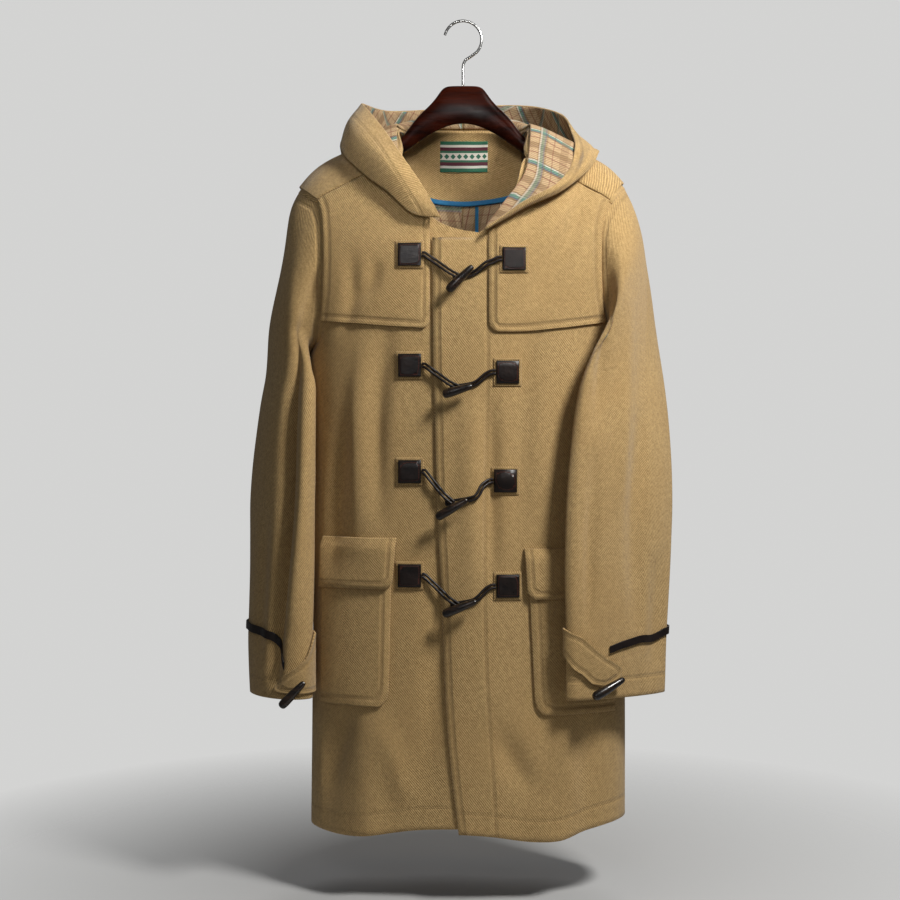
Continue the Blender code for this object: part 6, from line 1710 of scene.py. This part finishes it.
def horn_material():
    nodes = Nodes("dark_horn_look", (0.02, 0.012, 0.009), 0.26)
    place = nodes.place()
    streaks = nodes.noise(place, 60.0, 4.0, 0.6, stretch=(1.0, 1.0, 4.0))
    spots = nodes.noise(place, 190.0, 3.0, 0.6)
    tone = nodes.mix(nodes.span(streaks, 0.45, 0.75), (0.006, 0.004, 0.0035),
                     (0.040, 0.020, 0.011))
    nodes.put(nodes.shader.inputs["Base Color"], tone)
    nodes.put(nodes.shader.inputs["Roughness"], nodes.span(spots, 0.3, 0.7, 0.20, 0.38))
    nodes.shader.inputs["Coat Weight"].default_value = 0.25
    nodes.bump(nodes.math("MULTIPLY", streaks, 0.0004), 0.6)
    return nodes.material


def wood_material():
    nodes = Nodes("dark_wood_look", (0.06, 0.016, 0.010), 0.34)
    nodes.shader.inputs["Specular IOR Level"].default_value = 0.06
    place = nodes.place()
    grain = nodes.noise(place, 26.0, 5.0, 0.6, stretch=(0.35, 3.0, 3.0))
    fine = nodes.noise(place, 160.0, 4.0, 0.7, stretch=(0.12, 2.0, 2.0))
    tone = nodes.mix(nodes.span(grain, 0.35, 0.68), (0.005, 0.0012, 0.0008),
                     (0.038, 0.0065, 0.0026))
    tone = nodes.mix(nodes.span(fine, 0.45, 0.70, 0.0, 0.5), tone, (0.008, 0.003, 0.0025))
    nodes.put(nodes.shader.inputs["Base Color"], tone)
    nodes.put(nodes.shader.inputs["Roughness"], nodes.span(fine, 0.3, 0.7, 0.22, 0.38))
    nodes.shader.inputs["Coat Weight"].default_value = 0.0
    nodes.bump(nodes.math("MULTIPLY", fine, 0.0002), 0.5)
    return nodes.material


def steel_material():
    nodes = Nodes("steel_look", (0.62, 0.62, 0.61), 0.24, 1.0)
    marks = nodes.noise(nodes.place(), 220.0, 3.0, 0.6)
    nodes.put(nodes.shader.inputs["Roughness"], nodes.span(marks, 0.3, 0.7, 0.18, 0.36))
    return nodes.material


def tape_material():
    nodes = Nodes("blue_tape_look", (0.006, 0.20, 0.50), 0.7)
    vector, u, v = nodes.uv("weave")
    place = nodes.place()
    ribs = nodes.math("MULTIPLY_ADD", nodes.math("SINE", nodes.math("MULTIPLY", u, 5200.0)),
                      0.5, 0.5)
    tone = nodes.mix(ribs, (0.006, 0.12, 0.27), (0.016, 0.19, 0.40))
    tone = nodes.mix(nodes.span(nodes.noise(place, 240.0), 0.4, 0.7, 0.0, 0.4), tone,
                     (0.004, 0.08, 0.20))
    nodes.put(nodes.shader.inputs["Base Color"], tone)
    nodes.bump(nodes.math("MULTIPLY", ribs, 0.0002), 0.7)
    return nodes.material


def label_material():
    """A generic woven label: green ground, pale and maroon bands, a plain diamond row."""
    nodes = Nodes("label_look", (0.03, 0.15, 0.08), 0.75)
    vector, u, v = nodes.uv("weave")
    tone = nodes.mix(nodes.noise(nodes.place(), 500.0), (0.016, 0.10, 0.05), (0.03, 0.17, 0.09))
    for low, high, colour in LABEL_BANDS:
        band_share = nodes.math("MULTIPLY", nodes.math("GREATER_THAN", v, low),
                                nodes.math("LESS_THAN", v, high))
        tone = nodes.mix(band_share, tone, colour)
    across = nodes.math("ABSOLUTE", nodes.math("SUBTRACT", nodes.math(
        "FRACT", nodes.math("MULTIPLY", u, 1 / 0.009)), 0.5))
    off = nodes.math("MULTIPLY", nodes.math("ABSOLUTE", nodes.math("SUBTRACT", v, 0.0215)), 110.0)
    diamond = nodes.math("LESS_THAN", nodes.math("ADD", across, off), 0.42)
    tone = nodes.mix(diamond, tone, (0.02, 0.12, 0.07))
    weave = nodes.math("SINE", nodes.math("MULTIPLY", v, 6000.0))
    nodes.put(nodes.shader.inputs["Base Color"], tone)
    nodes.bump(nodes.math("MULTIPLY", weave, 0.0001), 0.6)
    return nodes.material


def stage_material():
    """Pale floor that fades out towards its rim."""
    nodes = Nodes("pale_floor", (0.56, 0.56, 0.56), 0.9)
    place = nodes.tree.nodes.new("ShaderNodeTexCoord").outputs["Object"]
    length = nodes.tree.nodes.new("ShaderNodeVectorMath")
    length.operation = "LENGTH"
    nodes.put(length.inputs[0], place)
    fade = nodes.span(length.outputs["Value"], 0.25, 0.95, 1.0, 0.0)
    nodes.put(nodes.shader.inputs["Alpha"], fade)
    return nodes.material


# ---------------------------------------------------------------- the coat
def build():
    twills = {name: wool(name, angle, STITCHES.get(name, ())) for name, angle in
              TWILL.items()}
    inner = {name: plaid(name, k * 0.11) for k, name in enumerate(PLAID_PIECES)}
    twills = {name: (m, inner.get(name, m)) for name, m in twills.items()}
    trim = wool("trim", 140, STITCHES["backing_left_1"])
    leather, horn, wood = leather_material("strap"), horn_material(), wood_material()
    square = leather_material("square", True)
    steel, blue, label_cloth = steel_material(), tape_material(), label_material()

    coarse = {"left": front_grid(-1), "right": front_grid(1)}
    coarse_back = {"left": back_half_grid(-1), "right": back_half_grid(1)}
    left = creased(refined(coarse["left"]), FRONT_CREASES, -1)
    right = creased(refined(coarse["right"]), FRONT_CREASES, -1)
    back_left = creased(refined(coarse_back["left"]), BACK_CREASES, 1)
    back_right = creased(refined(coarse_back["right"]), BACK_CREASES, 1)
    panels = {"left": (left, back_left), "right": (right, back_right)}
    wall("front_left", left, CLOTH, twills["front_left"])
    wall("front_right", right, CLOTH, twills["front_right"])
    gapped = with_centre_gap(back_left, -1)
    wall("back_left", Grid(gapped.points[:, ::-1], gapped.normals[:, ::-1]), CLOTH,
         twills["back_left"])
    wall("back_right", with_centre_gap(back_right, 1), CLOTH, twills["back_right"])

    inset = CAPE_GAP / SIDE_STRIP * FC
    cape("cape_front_left", left,
         lambda z: CAPE_LEFT_EDGE_X - rounded_off(z, CAPE_BOTTOM_LEFT[-1].z, 0.013), -inset,
         CAPE_BOTTOM_LEFT, twills["cape_front_left"])
    cape("cape_front_right", right,
         lambda z: float(facing_stitch(z)) + 0.0012
         + rounded_off(z, CAPE_BOTTOM_RIGHT[0].z, 0.015), -inset,
         CAPE_BOTTOM_RIGHT, twills["cape_front_right"])
    back = whole_back(back_left, back_right)
    cape("cape_back", back, inset, -inset, CAPE_BOTTOM_BACK, twills["cape_back"])

    pocket("left", left, POCKETS["left"], twills["pocket_left"])
    pocket("right", right, POCKETS["right"], twills["pocket_right"])
    neck_pieces(back, twills["neck_facing"], blue, label_cloth)

    on_cape = LAYER_GAP + CLOTH
    for number, row in enumerate(FASTENINGS, 1):
        base = on_cape if number == 1 else 0.0
        fastening(number, row, left, base, right, base, (trim, leather, square, horn))

    for name, side, table, creases in (("left", -1, LEFT_SLEEVE, LEFT_SLEEVE_CREASES),
                                       ("right", 1, RIGHT_SLEEVE, RIGHT_SLEEVE_CREASES)):
        grid, underarm = sleeve_grid(side, table, coarse[name], coarse_back[name])
        grid = creased(refined(grid, closed=True), creases, -1)
        grid = joined(grid, armhole_edge(*panels[name]), side)
        if side < 0:
            near = np.exp(-((grid.points[..., 2] + 0.468) / 0.035) ** 2)
            grid.points[..., 0] += 0.0035 * near
        level = np.arange(grid.points.shape[0])[:, None, None] / FR
        thickness = CLOTH * (0.3 + 0.7 * smooth_step((level - 13) / 4))
        wall("sleeve_%s_front" % name, sleeve_half(grid, underarm * FC, True), thickness,
             twills["sleeve_%s_front" % name])
        wall("sleeve_%s_back" % name, sleeve_half(grid, underarm * FC, False), thickness,
             twills["sleeve_%s_back" % name])
        cuff(name, grid, twills["cuff_tab_" + name], leather, horn)

    hood, middle = hood_grid()
    hood = refined(hood, rows=HOOD_FINE, columns=HOOD_FINE)
    middle *= HOOD_FINE
    left_half = hood.points[:, :middle + 1].copy()
    right_half = hood.points[:, middle:].copy()
    left_half[:, -1, 0] = -SEAM / 2
    right_half[:, 0, 0] = SEAM / 2
    flat = hood.normals.copy()
    flat[:, middle, 0] = 0
    wall("hood_left", Grid(left_half, flat[:, :middle + 1]), CLOTH, twills["hood_left"])
    wall("hood_right", Grid(right_half, flat[:, middle:]), CLOTH, twills["hood_right"])

    hanger_wood(wood)
    hanger_hook(steel)


def light(name, place, size, power, colour, aim=(0, 0, -0.55), spread=180):
    data = bpy.data.lights.new(name, "AREA")
    data.shape = "DISK"
    data.size = size
    data.energy = power
    data.color = colour
    data.spread = math.radians(spread)
    lamp = bpy.data.objects.new(name, data)
    lamp.location = place
    lamp.rotation_euler = (Vector(aim) - Vector(place)).to_track_quat("-Z", "Y").to_euler()
    bpy.context.scene.collection.objects.link(lamp)


def studio():
    scene = bpy.context.scene
    world = scene.world or bpy.data.worlds.new("pale")
    scene.world = world
    world.use_nodes = True
    world.node_tree.nodes["Background"].inputs[0].default_value = (0.86, 0.86, 0.85, 1)
    path = world.node_tree.nodes.new("ShaderNodeLightPath")
    power = world.node_tree.nodes.new("ShaderNodeMapRange")
    power.inputs["To Min"].default_value = WORLD_LIGHT
    power.inputs["To Max"].default_value = WORLD_SEEN
    world.node_tree.links.new(path.outputs["Is Camera Ray"], power.inputs["Value"])
    world.node_tree.links.new(power.outputs[0],
                              world.node_tree.nodes["Background"].inputs[1])
    for row in LIGHTS:
        light(*row)
    bpy.ops.mesh.primitive_circle_add(vertices=96, radius=1.0, fill_type="NGON",
                                      location=(0, 0, -1.175))
    floor = bpy.context.object
    floor.name = "floor"
    floor.data.materials.append(stage_material())
    data = bpy.data.cameras.new("camera")
    camera = bpy.data.objects.new("camera", data)
    scene.collection.objects.link(camera)
    data.sensor_width = 36.0
    data.lens = 58.39
    camera.location = (-0.0178, -2.0, -0.586)
    camera.rotation_euler = (math.radians(90), 0, 0)
    scene.camera = camera
    scene.view_settings.view_transform = "Standard"


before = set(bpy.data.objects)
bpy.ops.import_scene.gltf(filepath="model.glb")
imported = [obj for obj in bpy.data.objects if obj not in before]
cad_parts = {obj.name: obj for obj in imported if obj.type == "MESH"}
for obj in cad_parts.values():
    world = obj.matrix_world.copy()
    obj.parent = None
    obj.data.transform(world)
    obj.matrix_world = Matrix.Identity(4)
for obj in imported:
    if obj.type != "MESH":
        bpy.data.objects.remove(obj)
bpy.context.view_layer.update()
build()
studio()
